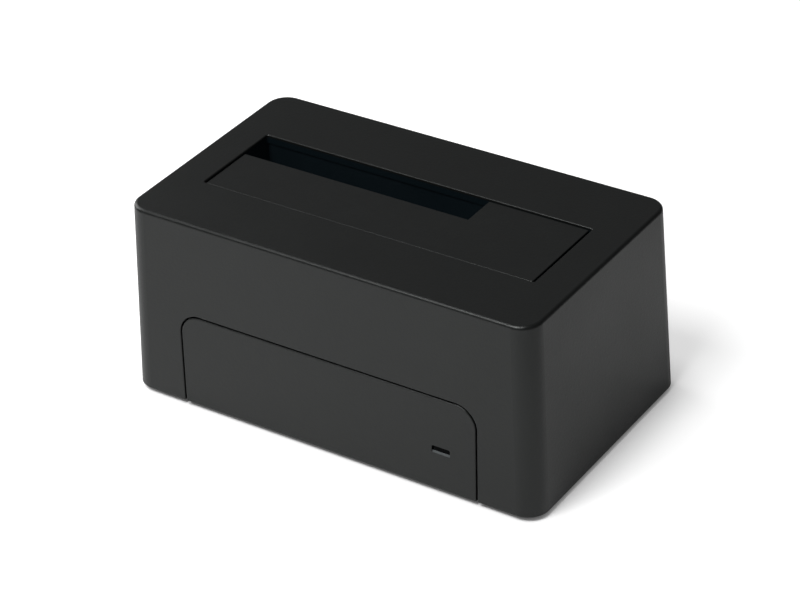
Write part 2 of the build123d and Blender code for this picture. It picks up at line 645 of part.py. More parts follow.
def ear(x):
    """Hinge ear whose near face is at x and which is one ear thick away from the middle."""
    with BuildPart() as plate:
        with BuildSketch(Plane.YZ.offset(x)):
            with BuildLine():
                wall_y = CRADLE_FRONT_Y - CRADLE_WALL / 2
                Polyline(
                    (HINGE_Y, HINGE_Z + BARREL_RADIUS),
                    (wall_y, HINGE_Z + BARREL_RADIUS),
                    (wall_y, HINGE_Z - EAR_LEG),
                    (HINGE_Y - BARREL_RADIUS, HINGE_Z),
                    (HINGE_Y, HINGE_Z + BARREL_RADIUS),
                )
            make_face()
            with Locations((HINGE_Y, HINGE_Z)):
                Circle(BARREL_RADIUS)
                Circle(SHAFT_RADIUS + SHAFT_CLEARANCE, mode=Mode.SUBTRACT)
        extrude(amount=EAR_THICKNESS)
    return plate.part


with BuildPart() as drive_cradle:
    cradle_depth = CRADLE_BACK_Y - CRADLE_FRONT_Y
    cradle_middle_y = (CRADLE_BACK_Y + CRADLE_FRONT_Y) / 2
    with Locations((0, cradle_middle_y, CRADLE_BOTTOM_Z)):
        Box(2 * CRADLE_OUTER_X, cradle_depth + 2 * CRADLE_WALL, TOP_UNDER_Z - CRADLE_BOTTOM_Z, align=BOTTOM)
    with Locations((0, cradle_middle_y, BAY_FLOOR_Z)):
        Box(2 * CRADLE_END_X, cradle_depth, TOP_Z - BAY_FLOOR_Z, align=BOTTOM, mode=Mode.SUBTRACT)
    # Rest rails on the floor, clear of the connector, under each end of a large drive
    for x in (SATA_X + SATA_FOOT_LENGTH / 2 + RAIL_SPACING, CRADLE_END_X - RAIL_SPACING / 2):
        with Locations((x, cradle_middle_y, BAY_FLOOR_Z - CRADLE_FLOOR / 2)):
            Box(RAIL_WIDTH, cradle_depth, CRADLE_FLOOR / 2 + RAIL_HEIGHT, align=BOTTOM)
    with Locations((SATA_X, SATA_Y, CRADLE_BOTTOM_Z)):
        Box(
            SATA_LENGTH + 2 * SATA_WINDOW_CLEARANCE,
            SATA_WIDTH + 2 * SATA_WINDOW_CLEARANCE,
            CRADLE_FLOOR,
            align=BOTTOM,
            mode=Mode.SUBTRACT,
        )
    # Windows in the front wall for the flap's arms and springs
    for side in (-1, 1):
        with Locations((side * (OUTER_EAR_X + INNER_EAR_X) / 2, CRADLE_FRONT_Y, WINDOW_BOTTOM_Z)):
            Box(
                OUTER_EAR_X - INNER_EAR_X,
                2 * CRADLE_WALL + OVERRUN,
                TOP_Z - WINDOW_BOTTOM_Z,
                align=BOTTOM,
                mode=Mode.SUBTRACT,
            )
    for x in (OUTER_EAR_X, INNER_EAR_X - EAR_THICKNESS, -OUTER_EAR_X - EAR_THICKNESS, -INNER_EAR_X):
        add(ear(x))
    for x, y in LUGS:
        side = x / LUG_X
        with Locations((x, y, LUG_TOP_Z)):
            Cylinder(LUG_RADIUS, LUG_THICKNESS, align=TOP_DOWN)
        with Locations((side * (LUG_X + CRADLE_END_X + CRADLE_WALL / 2) / 2, y, LUG_TOP_Z)):
            Box(LUG_X - CRADLE_END_X - CRADLE_WALL / 2, 2 * LUG_RADIUS, LUG_THICKNESS, align=TOP_DOWN)
        with Locations((x, y, LUG_TOP_Z)):
            Cylinder(
                SCREW_RADIUS + SCREW_HOLE_CLEARANCE,
                LUG_THICKNESS,
                align=TOP_DOWN,
                mode=Mode.SUBTRACT,
            )
save(drive_cradle.part, "drive_cradle")

# Flap: plate with the corner for small drives left out, and two arms down to the hinge
arm_angle = radians(ARM_UNDERSIDE_ANGLE)
with BuildPart() as drive_flap:
    with BuildSketch(Plane.XY.offset(FLAP_UNDER_Z)):
        with BuildLine():
            Polyline(
                (FLAP_LEFT_X, FLAP_FRONT_Y),
                (FLAP_RIGHT_X, FLAP_FRONT_Y),
                (FLAP_RIGHT_X, FLAP_BACK_Y),
                (SMALL_MOUTH_RIGHT_X, FLAP_BACK_Y),
                (SMALL_MOUTH_RIGHT_X, SMALL_MOUTH_FRONT_Y),
                (FLAP_LEFT_X, SMALL_MOUTH_FRONT_Y),
                (FLAP_LEFT_X, FLAP_FRONT_Y),
            )
        make_face()
    extrude(amount=FLAP_THICKNESS)
    fillet(drive_flap.faces().sort_by(Axis.Z)[-1].edges(), FLAP_EDGE_RADIUS)
    for x in (-ARM_OUTER_X, ARM_INNER_X):
        with BuildSketch(Plane.YZ.offset(x)):
            with BuildLine():
                foot_z = FLAP_UNDER_Z + FLAP_THICKNESS / 2
                Polyline(
                    (HINGE_Y, HINGE_Z + BARREL_RADIUS),
                    (FLAP_FRONT_Y, TOP_UNDER_Z - ARM_TOP_CLEARANCE),
                    (FLAP_FRONT_Y, foot_z),
                    (FLAP_FRONT_Y + ARM_FOOT_LENGTH, foot_z),
                    (FLAP_FRONT_Y + ARM_FOOT_LENGTH, FLAP_UNDER_Z),
                    (HINGE_Y + BARREL_RADIUS * cos(arm_angle), HINGE_Z - BARREL_RADIUS * sin(arm_angle)),
                    (HINGE_Y, HINGE_Z),
                    (HINGE_Y, HINGE_Z + BARREL_RADIUS),
                )
            make_face()
            with Locations((HINGE_Y, HINGE_Z)):
                Circle(BARREL_RADIUS)
                Circle(SHAFT_RADIUS + SHAFT_CLEARANCE, mode=Mode.SUBTRACT)
        extrude(amount=ARM_WIDTH)
save(drive_flap.part, "drive_flap")

# Hinge shaft with a groove near each end, and the clips that sit in the grooves
EAR_END_X = OUTER_EAR_X + EAR_THICKNESS
CLIP_X = EAR_END_X + SIDE_GAP / 2
SHAFT_END_X = EAR_END_X + SHAFT_OVERHANG
CLIP_PLACES = (-CLIP_X - CLIP_THICKNESS, CLIP_X)


def shaft_ring(x, outer, mouth):
    """Ring that fills a groove of the shaft, with a mouth of some width at its bottom, or none."""
    with BuildPart() as ring:
        with BuildSketch(Plane.YZ.offset(x)):
            with Locations((HINGE_Y, HINGE_Z)):
                Circle(outer)
                Circle(SHAFT_RADIUS - CLIP_GROOVE_DEPTH, mode=Mode.SUBTRACT)
            if mouth:
                with Locations((HINGE_Y, HINGE_Z - outer / 2)):
                    Rectangle(mouth, outer, mode=Mode.SUBTRACT)
        extrude(amount=CLIP_THICKNESS)
    return ring.part


with BuildPart() as flap_shaft:
    with BuildSketch(Plane.YZ.offset(-SHAFT_END_X)):
        with Locations((HINGE_Y, HINGE_Z)):
            Circle(SHAFT_RADIUS)
    extrude(amount=2 * SHAFT_END_X)
    chamfer(flap_shaft.edges(), SHAFT_CHAMFER)
    for x in CLIP_PLACES:
        add(shaft_ring(x, SHAFT_RADIUS + OVERRUN, 0), mode=Mode.SUBTRACT)
save(flap_shaft.part, "flap_shaft")

with BuildPart() as shaft_clips:
    for x in CLIP_PLACES:
        add(shaft_ring(x, CLIP_RADIUS, CLIP_MOUTH))
save(shaft_clips.part, "shaft_clips")

# Torsion springs: one leg presses up under the flap, the other under the housing's top
coil_radius = SHAFT_RADIUS + SPRING_SHAFT_CLEARANCE + SPRING_WIRE_RADIUS
coil_length = SPRING_ROOM - 2 * (SPRING_SIDE_CLEARANCE + SPRING_WIRE_RADIUS)
coil_turns = SPRING_TURNS + 2 * SPRING_LEG_ANGLE / 360
leg_rise = TOP_UNDER_Z - HINGE_Z - SPRING_WIRE_RADIUS - SPRING_LEG_CLEARANCE
leg_angle = radians(SPRING_LEG_ANGLE)
leg_length = (leg_rise + coil_radius * cos(leg_angle)) / sin(leg_angle)

with BuildPart() as spring_form:
    with BuildLine() as wire_path:
        coil = Helix(coil_length / coil_turns, coil_length, coil_radius)
        Line((coil @ 0) - (coil % 0) * leg_length, coil @ 0)
        Line(coil @ 1, (coil @ 1) + (coil % 1) * leg_length)
    wire_line = wire_path.wires()[0]
    with BuildSketch(Plane(wire_line @ 0, z_dir=wire_line % 0)):
        Circle(SPRING_WIRE_RADIUS)
    sweep(path=wire_line)
spring_plane = Plane(
    (INNER_EAR_X + SPRING_SIDE_CLEARANCE + SPRING_WIRE_RADIUS, HINGE_Y, HINGE_Z),
    x_dir=(0, -sin(leg_angle), -cos(leg_angle)),
    z_dir=(1, 0, 0),
)
with BuildPart() as right_flap_spring:
    with Locations(spring_plane.location):
        add(spring_form.part)
save(right_flap_spring.part, "right_flap_spring")

with BuildPart() as left_flap_spring:
    add(right_flap_spring.part.mirror(Plane.YZ))
save(left_flap_spring.part, "left_flap_spring")

# Where the data port, the power inlet and the switch stand, and where leads go through the board
USB_BACK_Y = CRADLE_BACK_Y + CRADLE_WALL + USB_CRADLE_GAP
USB_MOUTH_Y = USB_BACK_Y + USB_LENGTH
PORT_TABS = [
    (USB_X + side * (USB_WIDTH - USB_SHEET) / 2, USB_BACK_Y + USB_TAB_FROM_BACK + row * USB_TAB_SPACING)
    for side in (-1, 1)
    for row in (0, 1)
]
JACK_BACK_Y = BOARD_BACK_Y - JACK_LENGTH
JACK_LEAF_Y = BOARD_BACK_Y - JACK_LENGTH / 2
SWITCH_FRONT_Y = inner_port_wall_y(PORT_TOP_Z) - SWITCH_FROM_WALL
SWITCH_BACK_Y = SWITCH_FRONT_Y - SWITCH_LENGTH
SWITCH_PINS = [
    (SWITCH_X + x * SWITCH_PIN_PITCH, (SWITCH_FRONT_Y + SWITCH_BACK_Y) / 2 + y * SWITCH_PIN_PITCH)
    for y in (-1, 0, 1)
    for x in (-1, 1)
]
CAN_PLACES = [(x, BOARD_FRONT_Y + CAN_FROM_EDGE) for x in CAN_X]
CAN_LEADS = [(x + side * CAN_LEAD_PITCH / 2, y) for x, y in CAN_PLACES for side in (-1, 1)]
CRYSTAL_LEADS = [(CRYSTAL_X + side * CRYSTAL_LEAD_PITCH / 2, CRYSTAL_Y) for side in (-1, 1)]


def through_pins(places, width, depth, top_z, clearance=0.0):
    """Flat leads from below the board up to a height, or with a clearance, what they need cut out."""
    with BuildPart() as pins:
        with Locations([(x, y, BOARD_Z - TAIL_BELOW_BOARD) for x, y in places]):
            Box(
                width + 2 * clearance,
                depth + 2 * clearance,
                top_z - BOARD_Z + TAIL_BELOW_BOARD,
                align=BOTTOM,
            )
    return pins.part


# Circuit board with its screw holes and lead holes
with BuildPart() as circuit_board:
    with BuildSketch(Plane.XY.offset(BOARD_Z)):
        with Locations((0, BOARD_MIDDLE_Y)):
            RectangleRounded(BOARD_LENGTH, BOARD_WIDTH, BOARD_CORNER_RADIUS)
        with Locations(BOARD_HOLES):
            Circle(SCREW_RADIUS + SCREW_HOLE_CLEARANCE, mode=Mode.SUBTRACT)
        with Locations(CAN_LEADS + CRYSTAL_LEADS):
            Circle(ROUND_LEAD_RADIUS + PIN_CLEARANCE, mode=Mode.SUBTRACT)
    extrude(amount=BOARD_THICKNESS)
    for places, width, depth in (
        (PORT_TABS, USB_SHEET, USB_TAB_WIDTH),
        ([(JACK_X, JACK_BACK_Y + LEAD_THICKNESS)], JACK_TERMINAL_WIDTH, LEAD_THICKNESS),
        ([(JACK_X, JACK_LEAF_Y)], JACK_LEAF_WIDTH, LEAD_THICKNESS),
        (SWITCH_PINS, SWITCH_PIN_SIZE, SWITCH_PIN_SIZE),
    ):
        add(through_pins(places, width, depth, BOARD_TOP_Z + OVERRUN, PIN_CLEARANCE), mode=Mode.SUBTRACT)
save(circuit_board.part, "circuit_board")

# Drive connector: housing with a power slot and a data slot, each with its key, and the contacts
span_left_x = SATA_X - SATA_SPAN / 2
span_right_x = SATA_X + SATA_SPAN / 2
CONNECTOR_SLOTS = (
    (span_left_x, span_left_x + SATA_POWER_SLOT, SATA_POWER_WAYS),
    (span_right_x - SATA_SIGNAL_SLOT, span_right_x, SATA_SIGNAL_WAYS),
)
with BuildPart() as drive_connector_housing:
    with Locations((SATA_X, SATA_Y, BOARD_TOP_Z)):
        Box(SATA_LENGTH, SATA_WIDTH, SATA_TOP_Z - BOARD_TOP_Z, align=BOTTOM)
    chamfer(drive_connector_housing.faces().sort_by(Axis.Z)[-1].edges(), SATA_EDGE_CHAMFER)
    with Locations((SATA_X, SATA_Y, BOARD_TOP_Z)):
        Box(SATA_FOOT_LENGTH, SATA_FOOT_WIDTH, SATA_FOOT_HEIGHT, align=BOTTOM)
    with BuildSketch(Plane.XY.offset(SATA_TOP_Z)):
        for left_x, right_x, ways in CONNECTOR_SLOTS:
            with Locations(((left_x + right_x) / 2, SATA_Y)):
                Rectangle(right_x - left_x, SATA_SLOT_WIDTH)
            with Locations((left_x + SATA_KEY_LENGTH / 2, SATA_Y + SATA_KEY_REACH / 2)):
                Rectangle(SATA_KEY_LENGTH, SATA_SLOT_WIDTH + SATA_KEY_REACH)
    extrude(amount=-SATA_SLOT_DEPTH, mode=Mode.SUBTRACT)
save(drive_connector_housing.part, "drive_connector_housing")

with BuildPart() as drive_connector_contacts:
    for left_x, right_x, ways in CONNECTOR_SLOTS:
        blade_z = SATA_TOP_Z - SATA_CONTACT_BELOW_TOP
        with Locations(((left_x + right_x) / 2, SATA_Y - SATA_SLOT_WIDTH / 2, blade_z)):
            with GridLocations(SATA_PITCH, 0, ways, 1):
                Box(
                    SATA_CONTACT_WIDTH,
                    LEAD_THICKNESS,
                    SATA_SLOT_DEPTH - SATA_CONTACT_BELOW_TOP,
                    align=(Align.CENTER, Align.MIN, Align.MAX),
                )
        with Locations(((left_x + right_x) / 2, SATA_Y - SATA_FOOT_WIDTH / 2, BOARD_TOP_Z)):
            with GridLocations(SATA_PITCH, 0, ways, 1):
                Box(
                    SATA_CONTACT_WIDTH,
                    SATA_LEAD_REACH,
                    LEAD_THICKNESS,
                    align=(Align.CENTER, Align.MAX, Align.MIN),
                )
save(drive_connector_contacts.part, "drive_connector_contacts")

# Data port: folded metal shell, the insulator with two tongues inside it, and the contacts on them
USB_UPPER_TOP_Z = BOARD_TOP_Z + USB_HEIGHT - USB_OPENING_DROP
USB_STEP_Z = USB_UPPER_TOP_Z - USB_UPPER_HEIGHT
USB_LOWER_MIDDLE_Z = USB_STEP_Z - USB_LOWER_HEIGHT / 2
USB_UPPER_MIDDLE_Z = USB_STEP_Z + USB_UPPER_HEIGHT / 2
TONGUE_LENGTH = USB_LENGTH - USB_BACK_BLOCK - USB_TONGUE_SETBACK

with BuildPart() as data_port_shell:
    with Locations((USB_X, USB_BACK_Y, BOARD_TOP_Z)):
        Box(USB_WIDTH, USB_LENGTH, USB_HEIGHT, align=UP_REARWARD)
        Box(
            USB_WIDTH - 2 * USB_SHEET,
            2 * (USB_LENGTH - USB_SHEET),
            2 * (USB_HEIGHT - USB_SHEET),
            align=REARWARD,
            mode=Mode.SUBTRACT,
        )
    with Locations((USB_X, USB_BACK_Y, BOARD_TOP_Z)):
        Box(
            USB_WIDTH,
            USB_SHEET,
            USB_HEIGHT - USB_SHEET,
            align=UP_REARWARD,
        )
    add(through_pins(PORT_TABS, USB_SHEET, USB_TAB_WIDTH, BOARD_TOP_Z + USB_SHEET))
save(data_port_shell.part, "data_port_shell")

with BuildPart() as data_port_insulator:
    with Locations((USB_X, USB_BACK_Y + USB_SHEET, BOARD_TOP_Z)):
        Box(
            USB_WIDTH - 2 * USB_SHEET,
            USB_LENGTH - USB_SHEET,
            USB_HEIGHT - USB_SHEET,
            align=UP_REARWARD,
        )
    with BuildSketch(port_plane(USB_MOUTH_Y)):
        with Locations((USB_X, USB_LOWER_MIDDLE_Z)):
            Rectangle(USB_LOWER_WIDTH, USB_LOWER_HEIGHT)
        with Locations((USB_X, USB_STEP_Z)):
            Rectangle(USB_UPPER_WIDTH, 2 * USB_UPPER_HEIGHT)
        with Locations((USB_X, USB_LOWER_MIDDLE_Z)):
            Rectangle(USB_TONGUE_WIDTH, USB_TONGUE_HEIGHT, mode=Mode.SUBTRACT)
        with Locations((USB_X, USB_UPPER_MIDDLE_Z)):
            Rectangle(USB_UPPER_TONGUE_WIDTH, USB_UPPER_TONGUE_HEIGHT, mode=Mode.SUBTRACT)
    extrude(amount=USB_LENGTH - USB_BACK_BLOCK, mode=Mode.SUBTRACT)
    with Locations((USB_X, USB_MOUTH_Y, (USB_LOWER_MIDDLE_Z + USB_UPPER_MIDDLE_Z) / 2)):
        Box(
            USB_TONGUE_WIDTH,
            USB_TONGUE_SETBACK,
            USB_UPPER_MIDDLE_Z - USB_LOWER_MIDDLE_Z + USB_TONGUE_HEIGHT,
            align=FORWARD,
            mode=Mode.SUBTRACT,
        )
save(data_port_insulator.part, "data_port_insulator")

with BuildPart() as data_port_contacts:
    tongue_y = USB_MOUTH_Y - USB_TONGUE_SETBACK - USB_CONTACT_SETBACK
    lower_rise = (USB_TONGUE_HEIGHT + USB_CONTACT_THICKNESS) / 2
    upper_drop = (USB_UPPER_TONGUE_HEIGHT + USB_CONTACT_THICKNESS) / 2
    rows = (
        (USB_LOWER_MIDDLE_Z - lower_rise, USB_CONTACT_PITCH, 2),
        (USB_LOWER_MIDDLE_Z + lower_rise, USB_CONTACT_PITCH, 2),
        (USB_UPPER_MIDDLE_Z - upper_drop, USB_UPPER_PITCH, USB_UPPER_WAYS),
    )
    for z, pitch, ways in rows:
        with Locations((USB_X, tongue_y, z)):
            with GridLocations(pitch, 0, ways, 1):
                Box(
                    USB_CONTACT_WIDTH,
                    TONGUE_LENGTH - USB_CONTACT_SETBACK,
                    USB_CONTACT_THICKNESS,
                    align=FORWARD,
                )
save(data_port_contacts.part, "data_port_contacts")

# Power inlet: housing with its bore, the centre pin and the outer leaf contact
JACK_AXIS_Z = BOARD_TOP_Z + JACK_AXIS_HEIGHT
JACK_BORE_BOTTOM_Y = PORT_FACE_Y - JACK_BORE_DEPTH
JACK_LEAF_Z = JACK_AXIS_Z - JACK_BORE_RADIUS
JACK_LEAF_SLOT = JACK_LEAF_WIDTH + 2 * PIN_CLEARANCE

with BuildPart() as power_jack_housing:
    with Locations((JACK_X, JACK_BACK_Y, BOARD_TOP_Z)):
        Box(JACK_WIDTH, JACK_LENGTH, JACK_HEIGHT, align=UP_REARWARD)
    chamfer(power_jack_housing.edges().filter_by(Axis.Y).group_by(Axis.Z)[-1], JACK_EDGE_CHAMFER)
    with BuildSketch(port_plane(JACK_BACK_Y + JACK_LENGTH / 2)):
        with Locations((JACK_X, JACK_AXIS_Z)):
            Circle(JACK_NOSE_RADIUS)
    extrude(amount=-(PORT_FACE_Y - JACK_BACK_Y - JACK_LENGTH / 2))
    with BuildSketch(port_plane(JACK_BORE_BOTTOM_Y)):
        with Locations((JACK_X, JACK_AXIS_Z)):
            Circle(JACK_BORE_RADIUS)
    extrude(amount=-JACK_BORE_DEPTH, mode=Mode.SUBTRACT)
    # Room for the leaf below the bore and for the pin's terminal behind it
    with Locations((JACK_X, JACK_BORE_BOTTOM_Y, JACK_LEAF_Z - JACK_LEAF_THICKNESS)):
        Box(
            JACK_LEAF_SLOT,
            JACK_LEAF_Y - JACK_BORE_BOTTOM_Y + JACK_LEAF_REACH + PIN_CLEARANCE,
            JACK_BORE_RADIUS / 2,
            align=UP_REARWARD,
            mode=Mode.SUBTRACT,
        )
    add(
        through_pins([(JACK_X, JACK_LEAF_Y)], JACK_LEAF_WIDTH, LEAD_THICKNESS, JACK_LEAF_Z, PIN_CLEARANCE),
        mode=Mode.SUBTRACT,
    )
    with BuildSketch(port_plane(JACK_BACK_Y)):
        with Locations((JACK_X, JACK_AXIS_Z)):
            Circle(JACK_SHANK_RADIUS)
    extrude(amount=-(JACK_BORE_BOTTOM_Y - JACK_BACK_Y), mode=Mode.SUBTRACT)
    with Locations((JACK_X, JACK_BACK_Y, BOARD_TOP_Z)):
        Box(
            JACK_TERMINAL_WIDTH + 2 * PIN_CLEARANCE,
            JACK_TERMINAL_POCKET,
            JACK_AXIS_HEIGHT + JACK_PIN_RADIUS,
            align=UP_REARWARD,
            mode=Mode.SUBTRACT,
        )
save(power_jack_housing.part, "power_jack_housing")

with BuildPart() as power_jack_pin:
    pin_tip_y = PORT_FACE_Y - JACK_PIN_SETBACK
    with BuildSketch(port_plane(JACK_BORE_BOTTOM_Y)):
        with Locations((JACK_X, JACK_AXIS_Z)):
            Circle(JACK_PIN_RADIUS)
    extrude(amount=-(pin_tip_y - JACK_BORE_BOTTOM_Y))
    fillet(power_jack_pin.edges().sort_by(Axis.Y)[-1], JACK_PIN_RADIUS / 2)
    with BuildSketch(port_plane(JACK_BORE_BOTTOM_Y)):
        with Locations((JACK_X, JACK_AXIS_Z)):
            Circle(JACK_SHANK_RADIUS)
    extrude(amount=JACK_BORE_BOTTOM_Y - JACK_BACK_Y - LEAD_THICKNESS)
    add(
        through_pins(
            [(JACK_X, JACK_BACK_Y + LEAD_THICKNESS)],
            JACK_TERMINAL_WIDTH,
            LEAD_THICKNESS,
            JACK_AXIS_Z,
        )
    )
save(power_jack_pin.part, "power_jack_pin")

with BuildPart() as power_jack_leaf:
    add(through_pins([(JACK_X, JACK_LEAF_Y)], JACK_LEAF_WIDTH, LEAD_THICKNESS, JACK_LEAF_Z))
    with BuildSketch(Plane.YZ.offset(JACK_X - JACK_LEAF_WIDTH / 2)):
        with BuildLine():
            leaf_low_z = JACK_LEAF_Z - JACK_LEAF_THICKNESS
            leaf_high_z = JACK_LEAF_Z + JACK_LEAF_RISE
            leaf_end_y = JACK_LEAF_Y + JACK_LEAF_REACH
            Polyline(
                (JACK_BORE_BOTTOM_Y + PIN_CLEARANCE, leaf_low_z),
                (leaf_end_y, leaf_low_z),
                (leaf_end_y, JACK_LEAF_Z),
                (JACK_LEAF_Y, leaf_high_z),
                (JACK_BORE_BOTTOM_Y + PIN_CLEARANCE, JACK_LEAF_Z),
                (JACK_BORE_BOTTOM_Y + PIN_CLEARANCE, leaf_low_z),
            )
        make_face()
    extrude(amount=JACK_LEAF_WIDTH)
save(power_jack_leaf.part, "power_jack_leaf")

# Power switch: housing, plunger with a collar, return spring and pins. The button rides on the plunger.
SWITCH_AXIS_Z = BOARD_TOP_Z + SWITCH_AXIS_HEIGHT
COLLAR_SIZE = PLUNGER_SIZE + 2 * PLUNGER_COLLAR
COLLAR_FRONT_Y = SWITCH_FRONT_Y - SWITCH_WALL - PLUNGER_CLEARANCE
COLLAR_BACK_Y = COLLAR_FRONT_Y - PLUNGER_COLLAR_LENGTH
CAVITY_BACK_Y = SWITCH_BACK_Y + SWITCH_WALL
FLANGE_FRONT_Y = inner_port_wall_y(PORT_TOP_Z) - BUTTON_STOP_GAP
FLANGE_BACK_Y = FLANGE_FRONT_Y - BUTTON_FLANGE_THICKNESS
BUTTON_FACE_Y = PORT_FACE_Y + BUTTON_TRAVEL + BUTTON_PRESSED_HEIGHT
PLUNGER_TIP_Y = FLANGE_BACK_Y + BUTTON_SOCKET_DEPTH

with BuildPart() as power_switch_housing:
    with Locations((SWITCH_X, SWITCH_FRONT_Y, BOARD_TOP_Z + SWITCH_HEIGHT / 2)):
        Box(SWITCH_WIDTH, SWITCH_LENGTH, SWITCH_HEIGHT, align=FORWARD)
    with Locations((SWITCH_X, SWITCH_FRONT_Y, SWITCH_AXIS_Z)):
        Box(
            PLUNGER_SIZE + 2 * PLUNGER_CLEARANCE,
            SWITCH_WALL,
            PLUNGER_SIZE + 2 * PLUNGER_CLEARANCE,
            align=FORWARD,
            mode=Mode.SUBTRACT,
        )
    with Locations((SWITCH_X, SWITCH_FRONT_Y - SWITCH_WALL, SWITCH_AXIS_Z)):
        Box(
            COLLAR_SIZE + 2 * PLUNGER_CLEARANCE,
            SWITCH_LENGTH - 2 * SWITCH_WALL,
            COLLAR_SIZE + 2 * PLUNGER_CLEARANCE,
            align=FORWARD,
            mode=Mode.SUBTRACT,
        )
    # The pins are moulded into the bottom below the cavity
    add(through_pins(SWITCH_PINS, SWITCH_PIN_SIZE, SWITCH_PIN_SIZE, SWITCH_PIN_TOP_Z), mode=Mode.SUBTRACT)
save(power_switch_housing.part, "power_switch_housing")

with BuildPart() as switch_pins:
    add(through_pins(SWITCH_PINS, SWITCH_PIN_SIZE, SWITCH_PIN_SIZE, SWITCH_PIN_TOP_Z))
save(switch_pins.part, "switch_pins")

with BuildPart() as switch_plunger:
    with Locations((SWITCH_X, PLUNGER_TIP_Y, SWITCH_AXIS_Z)):
        Box(PLUNGER_SIZE, PLUNGER_TIP_Y - COLLAR_BACK_Y, PLUNGER_SIZE, align=FORWARD)
    with Locations((SWITCH_X, COLLAR_FRONT_Y, SWITCH_AXIS_Z)):
        Box(COLLAR_SIZE, PLUNGER_COLLAR_LENGTH, COLLAR_SIZE, align=FORWARD)
save(switch_plunger.part, "switch_plunger")

with BuildPart() as power_button:
    with BuildSketch(port_plane(BUTTON_FACE_Y)):
        with Locations((SWITCH_X, SWITCH_AXIS_Z)):
            RectangleRounded(BUTTON_WIDTH, BUTTON_HEIGHT, BUTTON_CORNER_RADIUS)
    extrude(amount=BUTTON_FACE_Y - FLANGE_BACK_Y)
    fillet(power_button.faces().sort_by(Axis.Y)[-1].edges(), BUTTON_EDGE_RADIUS)
    with BuildSketch(port_plane(FLANGE_FRONT_Y)):
        with Locations((SWITCH_X, SWITCH_AXIS_Z)):
            RectangleRounded(
                BUTTON_WIDTH + 2 * BUTTON_FLANGE,
                BUTTON_HEIGHT + 2 * BUTTON_FLANGE,
                BUTTON_CORNER_RADIUS + BUTTON_FLANGE,
            )
    extrude(amount=BUTTON_FLANGE_THICKNESS)
    with Locations((SWITCH_X, PLUNGER_TIP_Y, SWITCH_AXIS_Z)):
        Box(PLUNGER_SIZE, BUTTON_SOCKET_DEPTH, PLUNGER_SIZE, align=FORWARD, mode=Mode.SUBTRACT)
save(power_button.part, "power_button")

with BuildPart() as switch_spring:
    spring_length = COLLAR_BACK_Y - CAVITY_BACK_Y - 2 * SWITCH_SPRING_WIRE
    with BuildLine() as spring_path:
        Helix(
            spring_length / SWITCH_SPRING_TURNS,
            spring_length,
            SWITCH_SPRING_RADIUS,
            center=(SWITCH_X, CAVITY_BACK_Y + SWITCH_SPRING_WIRE, SWITCH_AXIS_Z),
            direction=(0, 1, 0),
        )
    spring_line = spring_path.wires()[0]
    with BuildSketch(Plane(spring_line @ 0, z_dir=spring_line % 0)):
        Circle(SWITCH_SPRING_WIRE)
    sweep(path=spring_line)
save(switch_spring.part, "switch_spring")

# Status light: lamp on the board, and the pipe that leads its light to the window, with a sloped sill there
LAMP_TOP_Z = BOARD_TOP_Z + LAMP_THICKNESS
PIPE_TOP_Z = LAMP_Z + WINDOW_HEIGHT / 2
PIPE_UNDER_Z = LAMP_Z - WINDOW_HEIGHT / 2
PIPE_FRONT_Y = PIPE_SETBACK - outer_half_width(PIPE_UNDER_Z)
PIPE_BACK_Y = LAMP_Y + WINDOW_HEIGHT / 2
PIPE_END_Z = LAMP_TOP_Z + PIPE_LAMP_GAP

with BuildPart() as status_lamp:
    with Locations((LAMP_X, LAMP_Y, BOARD_TOP_Z)):
        Box(LAMP_LENGTH, LAMP_WIDTH, LAMP_THICKNESS, align=BOTTOM)
    chamfer(status_lamp.faces().sort_by(Axis.Z)[-1].edges(), LAMP_CHAMFER)
save(status_lamp.part, "status_lamp")

with BuildPart() as light_pipe:
    with BuildSketch(Plane.YZ.offset(LAMP_X - WINDOW_WIDTH / 2)):
        with BuildLine():
            Polyline(
                (PIPE_FRONT_Y, PIPE_UNDER_Z),
                (PIPE_FRONT_Y + PIPE_SILL, PIPE_UNDER_Z + PIPE_SILL),
                (PIPE_FRONT_Y + PIPE_SILL, PIPE_TOP_Z),
                (PIPE_BACK_Y - WINDOW_HEIGHT, PIPE_TOP_Z),
                (PIPE_BACK_Y, PIPE_UNDER_Z),
                (PIPE_BACK_Y, PIPE_END_Z),
                (PIPE_BACK_Y - WINDOW_HEIGHT, PIPE_END_Z),
                (PIPE_BACK_Y - WINDOW_HEIGHT, PIPE_UNDER_Z),
                (PIPE_FRONT_Y, PIPE_UNDER_Z),
            )
        make_face()
    extrude(amount=WINDOW_WIDTH)
    fillet(light_pipe.edges().filter_by(Axis.Y), WINDOW_CORNER_RADIUS)
save(light_pipe.part, "light_pipe")


def gull_leads(reach, pitch, count, body_half):
    """A row of bent leads along X on the -Y side of a chip whose middle is the origin."""
    low_z = CHIP_LEAD_THICKNESS
    high_z = CHIP_HEIGHT / 2
    top_z = high_z + CHIP_LEAD_THICKNESS
    knee_y = -body_half - reach / 2
    with BuildPart() as row:
        with BuildSketch(Plane.YZ) as side_view:
            with BuildLine():
                Polyline(
                    (-body_half - reach, 0),
                    (knee_y + CHIP_LEAD_THICKNESS, 0),
                    (knee_y + CHIP_LEAD_THICKNESS, high_z),
                    (-body_half, high_z),
                    (-body_half, top_z),
                    (knee_y, top_z),
                    (knee_y, low_z),
                    (-body_half - reach, low_z),
                    (-body_half - reach, 0),
                )
            make_face()
        with Locations([((i - (count - 1) / 2) * pitch, 0, 0) for i in range(count)]):
            add(extrude(side_view.sketch, amount=CHIP_LEAD_WIDTH / 2, both=True, mode=Mode.PRIVATE))
    return row.part


